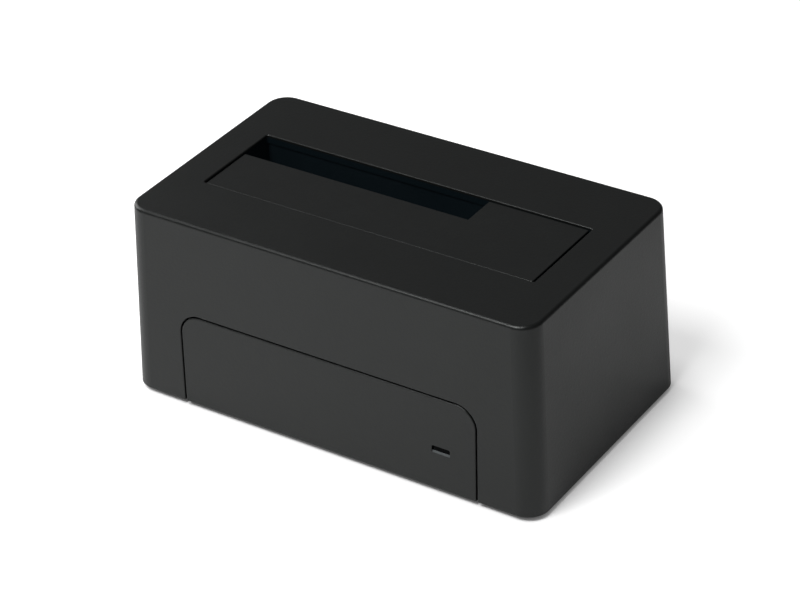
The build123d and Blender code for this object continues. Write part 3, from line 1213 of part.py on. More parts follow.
def chip_body(length, width):
    """Moulded chip body with a drafted top and a round mark at pin one, standing on the origin."""
    with BuildPart() as body:
        with Locations((0, 0, CHIP_STANDING_GAP)):
            Box(length, width, CHIP_HEIGHT - CHIP_STANDING_GAP, align=BOTTOM)
        chamfer(body.faces().sort_by(Axis.Z)[-1].edges(), CHIP_EDGE_CHAMFER)
        mark = 2 * CHIP_MARK_RADIUS + CHIP_EDGE_CHAMFER
        with Locations((mark - length / 2, mark - width / 2, CHIP_HEIGHT)):
            Cylinder(CHIP_MARK_RADIUS, CHIP_MARK_DEPTH, align=TOP_DOWN, mode=Mode.SUBTRACT)
    return body.part


# Bridge chip, with leads on four sides
with BuildPart() as bridge_chip:
    with Locations((BRIDGE_X, BRIDGE_Y, BOARD_TOP_Z)):
        add(chip_body(CHIP_SIZE, CHIP_SIZE))
save(bridge_chip.part, "bridge_chip")

with BuildPart() as bridge_chip_leads:
    bridge_row = gull_leads(CHIP_LEAD_REACH, CHIP_LEAD_PITCH, CHIP_LEAD_COUNT, CHIP_SIZE / 2)
    for turn in (0, 90, 180, 270):
        with Locations(Location((BRIDGE_X, BRIDGE_Y, BOARD_TOP_Z), (0, 0, turn))):
            add(bridge_row)
save(bridge_chip_leads.part, "bridge_chip_leads")

# Memory chip and voltage regulator, with leads on two sides
for name, place in (("memory_chip", MEMORY_PLACE), ("voltage_regulator", REGULATOR_PLACE)):
    with BuildPart() as small_chip:
        with Locations((*place, BOARD_TOP_Z)):
            add(chip_body(SMALL_CHIP_LENGTH, SMALL_CHIP_WIDTH))
    save(small_chip.part, name)
    with BuildPart() as small_leads:
        small_row = gull_leads(
            CHIP_LEAD_REACH, SMALL_CHIP_PITCH, SMALL_CHIP_LEAD_COUNT, SMALL_CHIP_WIDTH / 2
        )
        for turn in (0, 180):
            with Locations(Location((*place, BOARD_TOP_Z), (0, 0, turn))):
                add(small_row)
    save(small_leads.part, f"{name}_leads")


def round_leads(places, top_z):
    """Round wires from below the board up to a height."""
    with BuildPart() as wires:
        with Locations([(x, y, BOARD_Z - TAIL_BELOW_BOARD) for x, y in places]):
            Cylinder(ROUND_LEAD_RADIUS, top_z - BOARD_Z + TAIL_BELOW_BOARD, align=BOTTOM)
    return wires.part


# Crystal: base with its flange, the can on it and two leads
with BuildPart() as crystal:
    with BuildSketch(Plane.XY.offset(BOARD_TOP_Z)):
        with Locations((CRYSTAL_X, CRYSTAL_Y)):
            SlotOverall(CRYSTAL_LENGTH + 2 * CRYSTAL_FLANGE, CRYSTAL_WIDTH + 2 * CRYSTAL_FLANGE)
    extrude(amount=CRYSTAL_BASE)
    with BuildSketch(Plane.XY.offset(BOARD_TOP_Z + CRYSTAL_BASE)):
        with Locations((CRYSTAL_X, CRYSTAL_Y)):
            SlotOverall(CRYSTAL_LENGTH, CRYSTAL_WIDTH)
    extrude(amount=CRYSTAL_HEIGHT - CRYSTAL_BASE)
    fillet(crystal.faces().sort_by(Axis.Z)[-1].edges(), CRYSTAL_BASE)
    add(round_leads(CRYSTAL_LEADS, BOARD_TOP_Z))
save(crystal.part, "crystal")

# Electrolytic capacitors: grooved cans with a scored vent in the top, on two leads each
with BuildPart() as electrolytic_capacitors:
    with Locations([(x, y, BOARD_TOP_Z) for x, y in CAN_PLACES]):
        Cylinder(CAN_RADIUS, CAN_HEIGHT, align=BOTTOM)
    fillet(electrolytic_capacitors.faces().sort_by(Axis.Z)[-2:].edges(), CAN_GROOVE)
    with Locations([(x, y, BOARD_TOP_Z + CAN_GROOVE_HEIGHT) for x, y in CAN_PLACES]):
        Torus(CAN_RADIUS, CAN_GROOVE, mode=Mode.SUBTRACT)
    with Locations([(x, y, BOARD_TOP_Z + CAN_HEIGHT) for x, y in CAN_PLACES]):
        Box(CAN_RADIUS, CAN_SCORE_WIDTH, CAN_SCORE_DEPTH, align=TOP_DOWN, mode=Mode.SUBTRACT)
        Box(CAN_SCORE_WIDTH, CAN_RADIUS, CAN_SCORE_DEPTH, align=TOP_DOWN, mode=Mode.SUBTRACT)
    add(round_leads(CAN_LEADS, BOARD_TOP_Z))
save(electrolytic_capacitors.part, "electrolytic_capacitors")

# Power coil: square shielded body with a round core that shows in its top
with BuildPart() as power_coil:
    with Locations((*COIL_PLACE, BOARD_TOP_Z)):
        Box(COIL_SIZE, COIL_SIZE, COIL_HEIGHT, align=BOTTOM)
    chamfer(power_coil.edges().filter_by(Axis.Z), COIL_CHAMFER)
    with BuildSketch(Plane.XY.offset(BOARD_TOP_Z + COIL_HEIGHT)):
        with Locations(COIL_PLACE):
            Circle(COIL_CORE_RADIUS + COIL_CORE_GAP)
            Circle(COIL_CORE_RADIUS, mode=Mode.SUBTRACT)
    extrude(amount=-COIL_CORE_DEPTH, mode=Mode.SUBTRACT)
save(power_coil.part, "power_coil")

# Small parts in their sizes: ceramic capacitors beside the chips, and resistors
with BuildPart() as ceramic_capacitors:
    with Locations([(x, y, BOARD_TOP_Z) for x, y in CERAMIC_PLACES]):
        Box(CHIP_PART_LENGTH, CHIP_PART_WIDTH, CERAMIC_HEIGHT, align=BOTTOM)
save(ceramic_capacitors.part, "ceramic_capacitors")

with BuildPart() as resistors:
    with Locations([(x, y, BOARD_TOP_Z) for x, y in RESISTOR_PLACES]):
        Box(CHIP_PART_LENGTH, CHIP_PART_WIDTH, RESISTOR_HEIGHT, align=BOTTOM)
save(resistors.part, "resistors")
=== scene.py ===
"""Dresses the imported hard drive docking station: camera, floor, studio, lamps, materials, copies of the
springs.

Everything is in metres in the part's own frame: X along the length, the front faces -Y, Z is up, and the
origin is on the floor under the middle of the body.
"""
import dataclasses
import math

import bmesh
import bpy
from mathutils import Matrix, Vector


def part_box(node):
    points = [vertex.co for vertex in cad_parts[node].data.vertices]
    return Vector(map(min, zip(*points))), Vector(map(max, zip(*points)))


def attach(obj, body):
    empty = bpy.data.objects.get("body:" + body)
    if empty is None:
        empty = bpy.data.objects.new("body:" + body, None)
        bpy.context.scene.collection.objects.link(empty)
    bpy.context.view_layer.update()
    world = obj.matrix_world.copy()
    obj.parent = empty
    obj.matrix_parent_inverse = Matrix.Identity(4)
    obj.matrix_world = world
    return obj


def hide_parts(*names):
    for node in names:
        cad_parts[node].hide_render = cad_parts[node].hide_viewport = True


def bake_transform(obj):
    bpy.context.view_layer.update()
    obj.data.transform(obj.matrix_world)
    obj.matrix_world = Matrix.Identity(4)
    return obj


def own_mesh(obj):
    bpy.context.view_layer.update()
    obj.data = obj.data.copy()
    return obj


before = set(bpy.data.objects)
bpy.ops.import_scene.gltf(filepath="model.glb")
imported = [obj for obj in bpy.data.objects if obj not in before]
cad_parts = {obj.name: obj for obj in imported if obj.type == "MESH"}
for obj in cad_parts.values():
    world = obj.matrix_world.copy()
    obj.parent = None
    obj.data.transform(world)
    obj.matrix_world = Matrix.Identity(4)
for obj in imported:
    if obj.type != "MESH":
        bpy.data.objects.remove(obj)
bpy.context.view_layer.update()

MM = 0.001

# Camera, as solved from the photograph; the clipping distances are shares of the camera's distance
IMAGE_WIDTH = 800
IMAGE_HEIGHT = 600
CAMERA_AZIMUTH = 34.609
CAMERA_ELEVATION = 32.366
CAMERA_ROLL = -2.813
CAMERA_DISTANCE = 752.2 * MM
CAMERA_TARGET = Vector((1.85, -3.90, 31.5)) * MM
FOCAL_PIXELS = 2819.5
CENTRE_PIXEL = (398.013, 295.572)
SENSOR_WIDTH_MM = 36.0
CLIP_NEAR_SHARE = 0.01
CLIP_FAR_SHARE = 100.0

# Floor of pale paper, which the camera sees lifted towards white, less so within a short reach of an object,
# where ambient occlusion holds the lift back as a painted contact shadow
FLOOR_SIZE = 6.0
FLOOR_COLOUR = (0.86, 0.86, 0.86)
FLOOR_FIBRE_SIZE = 3 * MM
FLOOR_FIBRE_TONE = 0.99
FLOOR_ROUGHNESS = (0.85, 0.95)
FLOOR_LIFT = 0.55
FLOOR_FULL_LIFT = 1.0
# Reach and samples of the ambient occlusion that makes the painted contact shadow
FLOOR_LIFT_REACH = 12 * MM
FLOOR_LIFT_SAMPLES = 8
# Distances from the origin between which the lift rises to its full strength
FLOOR_FADE = (0.3, 0.9)

# Studio, and its pale wall behind the object: the wall's bearing and height in degrees, and how bright it is
STUDIO_LEVEL = 0.046
WALL_BEARING = (-145, 35)
WALL_LEVEL = 0.104
WALL_CORE = math.radians(5)
WALL_REACH = math.radians(50)
WHITE = (1.0, 1.0, 1.0, 1.0)

# Lamps: bearing and height in degrees, distance and side in metres, power in watts
LAMPS = {
    "front": {"azimuth": -5, "elevation": 60, "distance": 0.7, "side": 0.3, "power": 3.93},
    "left": {"azimuth": -95, "elevation": 25, "distance": 0.6, "side": 0.4, "power": 1.68},
    "front_left": {"azimuth": -28, "elevation": 52, "distance": 0.6, "side": 0.3, "power": 0.41},
}

# Characters of noise, each its detail and roughness, and the directions that it may be stretched along
SMOOTH = (2.0, 0.5)
WOVEN = (1.0, 0.5)
CLOUDY = (3.0, 0.5)
GRAINY = (2.0, 0.6)
STREAKY = (3.0, 0.6)
UNEVEN = (4.0, 0.6)
PATCHY = (4.0, 0.65)
DUSTY = (5.0, 0.7)
EVEN = (1.0, 1.0, 1.0)
SHAFT_STRETCH = (12.0, 1.0, 1.0)
LEAD_STRETCH = (1.0, 8.0, 1.0)
WEAVE_STRETCH = (1.0, 4.0, 1.0)

# Parts of the noise's range: the part that most points fall in, and those that are cut out as masks
NOISE_RANGE = (0.3, 0.7)
SPECK_RANGE = (0.45, 0.75)
WEAR_RANGE = (0.42, 0.62)
RIM_RANGE = (0.48, 0.62)
TARNISH_RANGE = (0.4, 0.7)
DUST_RANGE = (0.5, 0.75)
TRACE_RANGE = (0.48, 0.56)

# Worn edges: the cosines between rounded and true normal that mark an edge, and the least wear along it
EDGE_COSINES = (0.80, 0.97)
EDGE_SAMPLES = 4
LEAST_WEAR = 0.15
PLASTIC_EDGE_RADIUS = 0.12 * MM

# Colours of the plastics; the photograph shows the case and the bay
CASE_COLOUR = (0.0048, 0.0053, 0.0052)
BAY_COLOUR = (0.0030, 0.0066, 0.0090)
NYLON_COLOUR = (0.010, 0.010, 0.011)
BUTTON_COLOUR = (0.022, 0.023, 0.024)
INSULATOR_COLOUR = (0.010, 0.055, 0.30)
EPOXY_COLOUR = (0.012, 0.012, 0.013)
FERRITE_COLOUR = (0.045, 0.045, 0.047)

# Case: roughness, gloss, and the gloss's faint tint
CASE_ROUGHNESS = 0.385
CASE_GLOSS = 0.47
CASE_GLOSS_TINT = (0.97, 1.0, 0.985, 1.0)

# Slot's walls: depths below the top where the bay's colour starts and ends, and its margins round the flap
SLOT_START_DEPTHS = (0.6 * MM, 0.9 * MM)
SLOT_END_DEPTHS = (4.5 * MM, 5.0 * MM)
SLOT_MARGINS = (1.2 * MM, 1.4 * MM)

# Worn rims of the case, each band a fade: below the top edge, close under the top face, above the bottom rim
TOP_RIM_DEPTHS = (0.2 * MM, 1.1 * MM)
TOP_FACE_DEPTHS = (0.03 * MM, 0.12 * MM)
BOTTOM_RIM_HEIGHTS = (0.2 * MM, 1.0 * MM)
RIM_PATCH_SIZE = 6 * MM

# Metals: colours, then draw marks, tarnish and edges rubbed bright
STEEL_COLOUR = (0.56, 0.56, 0.57)
SPRING_COLOUR = (0.45, 0.45, 0.46)
ZINC_COLOUR = (0.55, 0.56, 0.58)
TIN_COLOUR = (0.66, 0.66, 0.65)
GOLD_COLOUR = (0.83, 0.60, 0.26)
MARK_SIZE = 0.12 * MM
MARK_DEPTH = 0.002 * MM
MARK_SHEEN = 0.08
TARNISH_SIZE = 1.8 * MM
TARNISH_SHARE = 0.25
TARNISH_TONE = 0.55
TARNISH_SHEEN = 0.5
METAL_EDGE_RADIUS = 0.06 * MM
METAL_WEAR_SIZE = 1.5 * MM
METAL_WEAR_SHARE = 0.5
METAL_WEAR_TONE = 1.15

# Feet: pebbled rubber with dust in it
RUBBER_COLOUR = (0.012, 0.012, 0.012)
DUST_COLOUR = (0.05, 0.048, 0.045)
PEBBLE_SIZE = 0.4 * MM
PEBBLE_DEPTH = 0.03 * MM
DUST_SIZE = 1.5 * MM
DUST_SHARE = 0.5
RUBBER_ROUGHNESS = (0.7, 0.9)

# Circuit board: the solder mask over the laminate's weave, and the traces under it
MASK_COLOURS = ((0.010, 0.085, 0.035), (0.013, 0.105, 0.045))
MASK_ROUGHNESS = (0.25, 0.34)
WEAVE_SIZE = 0.5 * MM
WEAVE_DEPTH = 0.003 * MM
TRACE_COLOUR = (0.03, 0.19, 0.075)
TRACE_RUN = 9 * MM
TRACE_SPACING = 1.1 * MM
TRACE_WIDTH = 0.16 * MM
TRACE_DEPTH = 0.02 * MM
TRACE_SOFTNESS = 0.2
TRACE_FIELD_SIZE = 7 * MM

# Light pipe: a smoked face whose near black is partly painted shade of its recess, and a sill painted
# lighter where the surface faces up, a painted highlight
SMOKE_AND_SHADE_COLOURS = ((0.0008, 0.001, 0.0012), (0.0014, 0.0017, 0.002))
SILL_HIGHLIGHT_COLOURS = ((0.077, 0.084, 0.086), (0.103, 0.111, 0.113))
LENS_HAZE_SIZE = 1.2 * MM
LENS_ROUGHNESS = (0.14, 0.22)
FROST_ROUGHNESS = 0.2
SILL_SLOPES = (0.2, 0.5)
LENS_IOR = 1.49
LENS_GLOSS = 0.03

# Status lamp
RESIN_COLOURS = ((0.75, 0.72, 0.50), (0.82, 0.80, 0.70))
RESIN_HAZE_SIZE = 0.5 * MM
RESIN_ROUGHNESS = (0.2, 0.35)

# Capacitor cans: bare rim below the top, tinned end above the board, and pale stripe, each with its fade
SLEEVE_COLOUR = (0.010, 0.012, 0.020)
STRIPE_COLOUR = (0.35, 0.36, 0.37)
CAN_COLOUR = (0.70, 0.70, 0.71)
CAN_BARE_DEPTHS = (0.25 * MM, 0.35 * MM)
CAN_END_HEIGHT = 0.05 * MM
CAN_STRIPE_WIDTHS = (0.9 * MM, 1.0 * MM)
CAN_GRAIN_SIZE = 0.3 * MM
CAN_GRAIN_DEPTH = 0.002 * MM
CAN_ROUGHNESS = (0.28, 0.40)

# Ceramic chips
CERAMIC_COLOURS = ((0.30, 0.20, 0.11), (0.40, 0.28, 0.17))
CERAMIC_GRAIN_SIZE = 0.2 * MM
CERAMIC_GRAIN_DEPTH = 0.004 * MM
CERAMIC_ROUGHNESS = (0.35, 0.5)

HOUSING_LOW, HOUSING_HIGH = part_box("housing")


@dataclasses.dataclass(frozen=True)
class PlasticLook:
    """Texture of a moulded plastic: sizes and depths in metres, tones as factors, sheens as roughness."""

    cloud_size: float = 9 * MM
    cloud_contrast: float = 0.07
    grain_size: float = 0.22 * MM
    grain_depth: float = 0.006 * MM
    grain_sheen: float = 0.03
    speck_share: float = 0.35
    speck_tone: float = 1.35
    wave_size: float = 2.2 * MM
    wave_character: tuple = SMOOTH
    wave_depth: float = 0.003 * MM
    handled_size: float = 28 * MM
    handled_sheen: float = 0.035
    wear_size: float = 3 * MM
    wear_share: float = 0.4
    wear_tone: float = 2.0
    wear_sheen: float = 0.08


COMMON_LOOK = PlasticLook()
NYLON_LOOK = PlasticLook(grain_size=0.15 * MM)
FERRITE_LOOK = PlasticLook(grain_size=0.2 * MM)
POLISHED_LOOK = PlasticLook(grain_size=0.15 * MM, grain_depth=0.003 * MM, wave_depth=0.0015 * MM)
EPOXY_LOOK = PlasticLook(grain_size=0.08 * MM, grain_depth=0.003 * MM, wave_depth=0.0015 * MM)
CASE_LOOK = PlasticLook(
    cloud_size=11 * MM,
    cloud_contrast=0.06,
    grain_size=0.24 * MM,
    grain_depth=0.018 * MM,
    grain_sheen=0.04,
    speck_share=0.42,
    speck_tone=1.6,
    wave_size=0.9 * MM,
    wave_character=UNEVEN,
    wave_depth=0.035 * MM,
    handled_size=30 * MM,
    handled_sheen=0.02,
    wear_size=4 * MM,
    wear_share=0.2,
    wear_tone=2.2,
    wear_sheen=0.03,
)


def bearing(azimuth, elevation):
    """Direction from the object to a bearing in degrees, measured round from the front."""
    turn = math.radians(azimuth)
    rise = math.radians(elevation)
    return Vector((math.sin(turn) * math.cos(rise), -math.cos(turn) * math.cos(rise), math.sin(rise)))


def place_camera():
    """Camera at the photograph's viewing angle, with its roll and its off-centre principal point."""
    back = bearing(CAMERA_AZIMUTH, CAMERA_ELEVATION)
    data = bpy.data.cameras.new("camera")
    camera = bpy.data.objects.new("camera", data)
    bpy.context.scene.collection.objects.link(camera)
    aim = (-back).to_track_quat("-Z", "Y").to_matrix().to_4x4()
    roll = Matrix.Rotation(math.radians(CAMERA_ROLL), 4, "Z")
    camera.matrix_world = Matrix.Translation(CAMERA_TARGET + back * CAMERA_DISTANCE) @ aim @ roll
    data.sensor_fit = "HORIZONTAL"
    data.sensor_width = SENSOR_WIDTH_MM
    data.lens = FOCAL_PIXELS * SENSOR_WIDTH_MM / IMAGE_WIDTH
    data.shift_x = (IMAGE_WIDTH / 2 - CENTRE_PIXEL[0]) / IMAGE_WIDTH
    data.shift_y = (CENTRE_PIXEL[1] - IMAGE_HEIGHT / 2) / IMAGE_WIDTH
    data.clip_start = CAMERA_DISTANCE * CLIP_NEAR_SHARE
    data.clip_end = CAMERA_DISTANCE * CLIP_FAR_SHARE
    bpy.context.scene.camera = camera


class Shader:
    """A node material under construction: makes nodes, links them, and ends in one principled shader."""

    def __init__(self, name):
        self.material = bpy.data.materials.new(name)
        self.material.use_nodes = True
        self.tree = self.material.node_tree
        self.surface = self.tree.nodes["Principled BSDF"]
        self.output = self.tree.nodes["Material Output"]
        self.place = self.node("ShaderNodeTexCoord").outputs["Object"]

    def node(self, kind, **settings):
        """New node with some of its properties set."""
        made = self.tree.nodes.new(kind)
        for key, value in settings.items():
            setattr(made, key, value)
        return made

    def link(self, source, target):
        """Link from an output socket to an input socket."""
        self.tree.links.new(source, target)

    def noise(self, size, character=SMOOTH, stretch=EVEN):
        """Noise whose features are about one size across, in metres, stretched along the axes."""
        mapping = self.node("ShaderNodeMapping")
        mapping.inputs["Scale"].default_value = [1.0 / factor for factor in stretch]
        self.link(self.place, mapping.inputs["Vector"])
        made = self.node("ShaderNodeTexNoise")
        detail, roughness = character
        made.inputs["Scale"].default_value = 1.0 / size
        made.inputs["Detail"].default_value = detail
        made.inputs["Roughness"].default_value = roughness
        self.link(mapping.outputs["Vector"], made.inputs["Vector"])
        return made.outputs["Fac"]

    def spread(self, value, low, high, source=NOISE_RANGE):
        """Value mapped from one range to another, and kept inside the second."""
        made = self.node("ShaderNodeMapRange", clamp=True)
        made.inputs["From Min"].default_value = source[0]
        made.inputs["From Max"].default_value = source[1]
        made.inputs["To Min"].default_value = low
        made.inputs["To Max"].default_value = high
        self.link(value, made.inputs["Value"])
        return made.outputs["Result"]

    def rising(self, value, start, end):
        """Mask that fades from 0 at start to 1 at end."""
        return self.spread(value, 0.0, 1.0, (start, end))

    def falling(self, value, start, end):
        """Mask that fades from 1 at start to 0 at end."""
        return self.spread(value, 1.0, 0.0, (start, end))

    def blend(self, share, first, second):
        """Colour between two colours, each a value or a socket."""
        made = self.node("ShaderNodeMix", data_type="RGBA")
        self.link(share, made.inputs["Factor"])
        for key, colour in (("A", first), ("B", second)):
            socket = [entry for entry in made.inputs if entry.name == key and entry.type == "RGBA"][0]
            if isinstance(colour, bpy.types.NodeSocket):
                self.link(colour, socket)
            else:
                socket.default_value = (*colour, 1.0)
        return [entry for entry in made.outputs if entry.type == "RGBA"][0]

    def mottled(self, value, colours):
        """Colour that wanders between two colours with a noise."""
        return self.blend(self.rising(value, *NOISE_RANGE), *colours)

    def combine(self, operation, first, second):
        """Arithmetic on a socket and a socket or number."""
        made = self.node("ShaderNodeMath", operation=operation)
        self.link(first, made.inputs[0])
        if isinstance(second, bpy.types.NodeSocket):
            self.link(second, made.inputs[1])
        else:
            made.inputs[1].default_value = second
        return made.outputs[0]

    def product(self, first, *others):
        """Product of a socket and more sockets or numbers."""
        for other in others:
            first = self.combine("MULTIPLY", first, other)
        return first

    def axis(self, name):
        """One coordinate of the point, in metres."""
        made = self.node("ShaderNodeSeparateXYZ")
        self.link(self.place, made.inputs[0])
        return made.outputs[name]

    def facing_up(self):
        """How far the surface faces up, from -1 to 1."""
        made = self.node("ShaderNodeSeparateXYZ")
        self.link(self.node("ShaderNodeNewGeometry").outputs["Normal"], made.inputs[0])
        return made.outputs["Z"]

    def edge_wear(self, radius, patch_size):
        """Mask of the sharp edges, broken into patches as handling leaves them."""
        rounded = self.node("ShaderNodeBevel", samples=EDGE_SAMPLES)
        rounded.inputs["Radius"].default_value = radius
        turn = self.node("ShaderNodeVectorMath", operation="DOT_PRODUCT")
        self.link(rounded.outputs["Normal"], turn.inputs[0])
        self.link(self.node("ShaderNodeNewGeometry").outputs["Normal"], turn.inputs[1])
        edges = self.falling(turn.outputs["Value"], *EDGE_COSINES)
        patches = self.spread(self.noise(patch_size, PATCHY), LEAST_WEAR, 1.0, WEAR_RANGE)
        return self.product(edges, patches)

    def bump(self, *layers):
        """Bump from one or more layers, each a height and its depth in metres."""
        previous = None
        for height, depth in layers:
            made = self.node("ShaderNodeBump")
            made.inputs["Strength"].default_value = 1.0
            made.inputs["Distance"].default_value = depth
            self.link(height, made.inputs["Height"])
            if previous:
                self.link(previous, made.inputs["Normal"])
            previous = made.outputs["Normal"]
        self.link(previous, self.surface.inputs["Normal"])

    def colour(self, source):
        """Base colour from a socket."""
        self.link(source, self.surface.inputs["Base Color"])

    def rough(self, source):
        """Roughness from a socket."""
        self.link(source, self.surface.inputs["Roughness"])

    def constant(self, **values):
        """Values set on the shader's own sockets."""
        for key, value in values.items():
            self.surface.inputs[key.replace("_", " ")].default_value = value


def scaled(colour, factor):
    """Colour made lighter or darker."""
    return tuple(channel * factor for channel in colour)


def toned_plastic(shader, colour, look, grains):
    """A plastic's colour with its clouds, and the specks of its grain."""
    tones = [scaled(colour, 1.0 + sign * look.cloud_contrast) for sign in (-1, 1)]
    clouded = shader.mottled(shader.noise(look.cloud_size, CLOUDY), tones)
    specks = shader.spread(grains, 0.0, look.speck_share, SPECK_RANGE)
    return shader.blend(specks, clouded, scaled(colour, look.speck_tone))


def finish_plastic(shader, colour, roughness, look, grains, toned, worn):
    """Worn edges over a plastic's toned colour, its uneven sheen, and the relief of its grain."""
    burnished = shader.product(worn, look.wear_share)
    shader.colour(shader.blend(burnished, toned, scaled(colour, look.wear_tone)))
    handled = shader.noise(look.handled_size, UNEVEN)
    sheen = shader.spread(handled, roughness - look.handled_sheen, roughness + look.handled_sheen)
    grained = shader.combine("ADD", sheen, shader.spread(grains, -look.grain_sheen, look.grain_sheen))
    shader.rough(shader.combine("SUBTRACT", grained, shader.product(worn, look.wear_sheen)))
    waves = shader.noise(look.wave_size, look.wave_character)
    shader.bump((grains, look.grain_depth), (waves, look.wave_depth))


def moulded_plastic(name, colour, roughness, look=COMMON_LOOK):
    """Moulded plastic: spark-eroded grain, cloudy tone, uneven sheen, and edges a little burnished."""
    shader = Shader(name)
    grains = shader.noise(look.grain_size, GRAINY)
    toned = toned_plastic(shader, colour, look, grains)
    worn = shader.edge_wear(PLASTIC_EDGE_RADIUS, look.wear_size)
    finish_plastic(shader, colour, roughness, look, grains, toned, worn)
    return shader.material


def slot_mask(shader, height):
    """Mask of the housing's walls inside the slot, from just below the top edge down to the cradle."""
    top = HOUSING_HIGH.z
    near, far = SLOT_START_DEPTHS
    below_edge = shader.falling(height, top - far, top - near)
    near, far = SLOT_END_DEPTHS
    mask = shader.product(below_edge, shader.rising(height, top - far, top - near))
    near, far = SLOT_MARGINS
    slot_low, slot_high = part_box("drive_flap")
    for axis, low, high in (("X", slot_low.x, slot_high.x), ("Y", slot_low.y, slot_high.y)):
        place = shader.axis(axis)
        after_low = shader.rising(place, low - far, low - near)
        before_high = shader.falling(place, high + near, high + far)
        mask = shader.product(mask, after_low, before_high)
    return mask


def rim_mask(shader, height):
    """Mask of the rims that wear first, the top edge and the bottom rim, in patches."""
    top, bottom = HOUSING_HIGH.z, HOUSING_LOW.z
    near, far = TOP_RIM_DEPTHS
    near_top = shader.rising(height, top - far, top - near)
    near, far = TOP_FACE_DEPTHS
    below_face = shader.falling(height, top - far, top - near)
    near, far = BOTTOM_RIM_HEIGHTS
    near_bottom = shader.falling(height, bottom + near, bottom + far)
    bands = shader.combine("MAXIMUM", shader.product(near_top, below_face), near_bottom)
    return shader.product(bands, shader.rising(shader.noise(RIM_PATCH_SIZE, PATCHY), *RIM_RANGE))


def case_plastic():
    """The case's plastic: satin grain outside, blue-black inside the slot, rims burnished by handling."""
    shader = Shader("case_plastic")
    grains = shader.noise(CASE_LOOK.grain_size, GRAINY)
    toned = toned_plastic(shader, CASE_COLOUR, CASE_LOOK, grains)
    height = shader.axis("Z")
    toned = shader.blend(slot_mask(shader, height), toned, BAY_COLOUR)
    edges = shader.edge_wear(PLASTIC_EDGE_RADIUS, CASE_LOOK.wear_size)
    worn = shader.combine("MAXIMUM", rim_mask(shader, height), edges)
    finish_plastic(shader, CASE_COLOUR, CASE_ROUGHNESS, CASE_LOOK, grains, toned, worn)
    shader.constant(Specular_IOR_Level=CASE_GLOSS, Specular_Tint=CASE_GLOSS_TINT)
    return shader.material


def drawn_metal(name, colour, roughness, stretch=EVEN, tarnish=TARNISH_SHARE):
    """Metal with fine draw marks along an axis, a thin uneven tarnish, and edges rubbed bright."""
    shader = Shader(name)
    marks = shader.noise(MARK_SIZE, STREAKY, stretch)
    dull = shader.spread(shader.noise(TARNISH_SIZE, UNEVEN), 0.0, tarnish, TARNISH_RANGE)
    bright = shader.edge_wear(METAL_EDGE_RADIUS, METAL_WEAR_SIZE)
    tarnished = shader.blend(dull, colour, scaled(colour, TARNISH_TONE))
    rubbed = shader.product(bright, METAL_WEAR_SHARE)
    shader.colour(shader.blend(rubbed, tarnished, scaled(colour, METAL_WEAR_TONE)))
    sheen = shader.spread(marks, roughness - MARK_SHEEN, roughness + MARK_SHEEN)
    shader.rough(shader.combine("ADD", sheen, shader.product(dull, TARNISH_SHEEN)))
    shader.bump((marks, MARK_DEPTH))
    shader.constant(Metallic=1.0)
    return shader.material


def foot_rubber():
    """Matt rubber with a pebbled face and dust in it."""
    shader = Shader("foot_rubber")
    pebbles = shader.noise(PEBBLE_SIZE)
    dust = shader.spread(shader.noise(DUST_SIZE, DUSTY), 0.0, DUST_SHARE, DUST_RANGE)
    shader.colour(shader.blend(dust, RUBBER_COLOUR, DUST_COLOUR))
    shader.rough(shader.spread(pebbles, *RUBBER_ROUGHNESS))
    shader.bump((pebbles, PEBBLE_DEPTH))
    return shader.material


def board_laminate():
    """Green solder mask with traces that show through it as paler bands, and the weave of the laminate."""
    shader = Shader("board_laminate")
    bands = shader.node("ShaderNodeTexBrick", offset=0.5, squash=1.0)
    bands.inputs["Scale"].default_value = 1.0
    bands.inputs["Brick Width"].default_value = TRACE_RUN
    bands.inputs["Row Height"].default_value = TRACE_SPACING
    bands.inputs["Mortar Size"].default_value = TRACE_WIDTH
    bands.inputs["Mortar Smooth"].default_value = TRACE_SOFTNESS
    shader.link(shader.place, bands.inputs["Vector"])
    fields = shader.rising(shader.noise(TRACE_FIELD_SIZE), *TRACE_RANGE)
    traces = shader.product(bands.outputs["Fac"], fields)
    weave = shader.noise(WEAVE_SIZE, WOVEN, WEAVE_STRETCH)
    shader.colour(shader.blend(traces, shader.mottled(weave, MASK_COLOURS), TRACE_COLOUR))
    shader.rough(shader.spread(weave, *MASK_ROUGHNESS))
    shader.bump((traces, TRACE_DEPTH), (weave, WEAVE_DEPTH))
    return shader.material


def window_lens():
    """Light pipe: a smoked face, black while the lamp is off and partly painted shade of its recess, and a
    sill that catches light as a painted highlight where it faces up.
    """
    shader = Shader("window_lens")
    haze = shader.noise(LENS_HAZE_SIZE, CLOUDY)
    # Up-facing surfaces get the pale colour, a painted highlight; the rest gets the near-black smoke, partly
    # painted shade
    sill = shader.rising(shader.facing_up(), *SILL_SLOPES)
    smoke_and_shade = shader.mottled(haze, SMOKE_AND_SHADE_COLOURS)
    sill_highlight = shader.mottled(haze, SILL_HIGHLIGHT_COLOURS)
    shader.colour(shader.blend(sill, smoke_and_shade, sill_highlight))
    polish = shader.spread(haze, *LENS_ROUGHNESS)
    shader.rough(shader.combine("ADD", polish, shader.product(sill, FROST_ROUGHNESS)))
    shader.constant(IOR=LENS_IOR, Specular_IOR_Level=LENS_GLOSS)
    return shader.material


def lamp_resin():
    """Pale resin of the lamp, with the yellow of its phosphor in it."""
    shader = Shader("lamp_resin")
    haze = shader.noise(RESIN_HAZE_SIZE, CLOUDY)
    shader.colour(shader.mottled(haze, RESIN_COLOURS))
    shader.rough(shader.spread(haze, *RESIN_ROUGHNESS))
    return shader.material


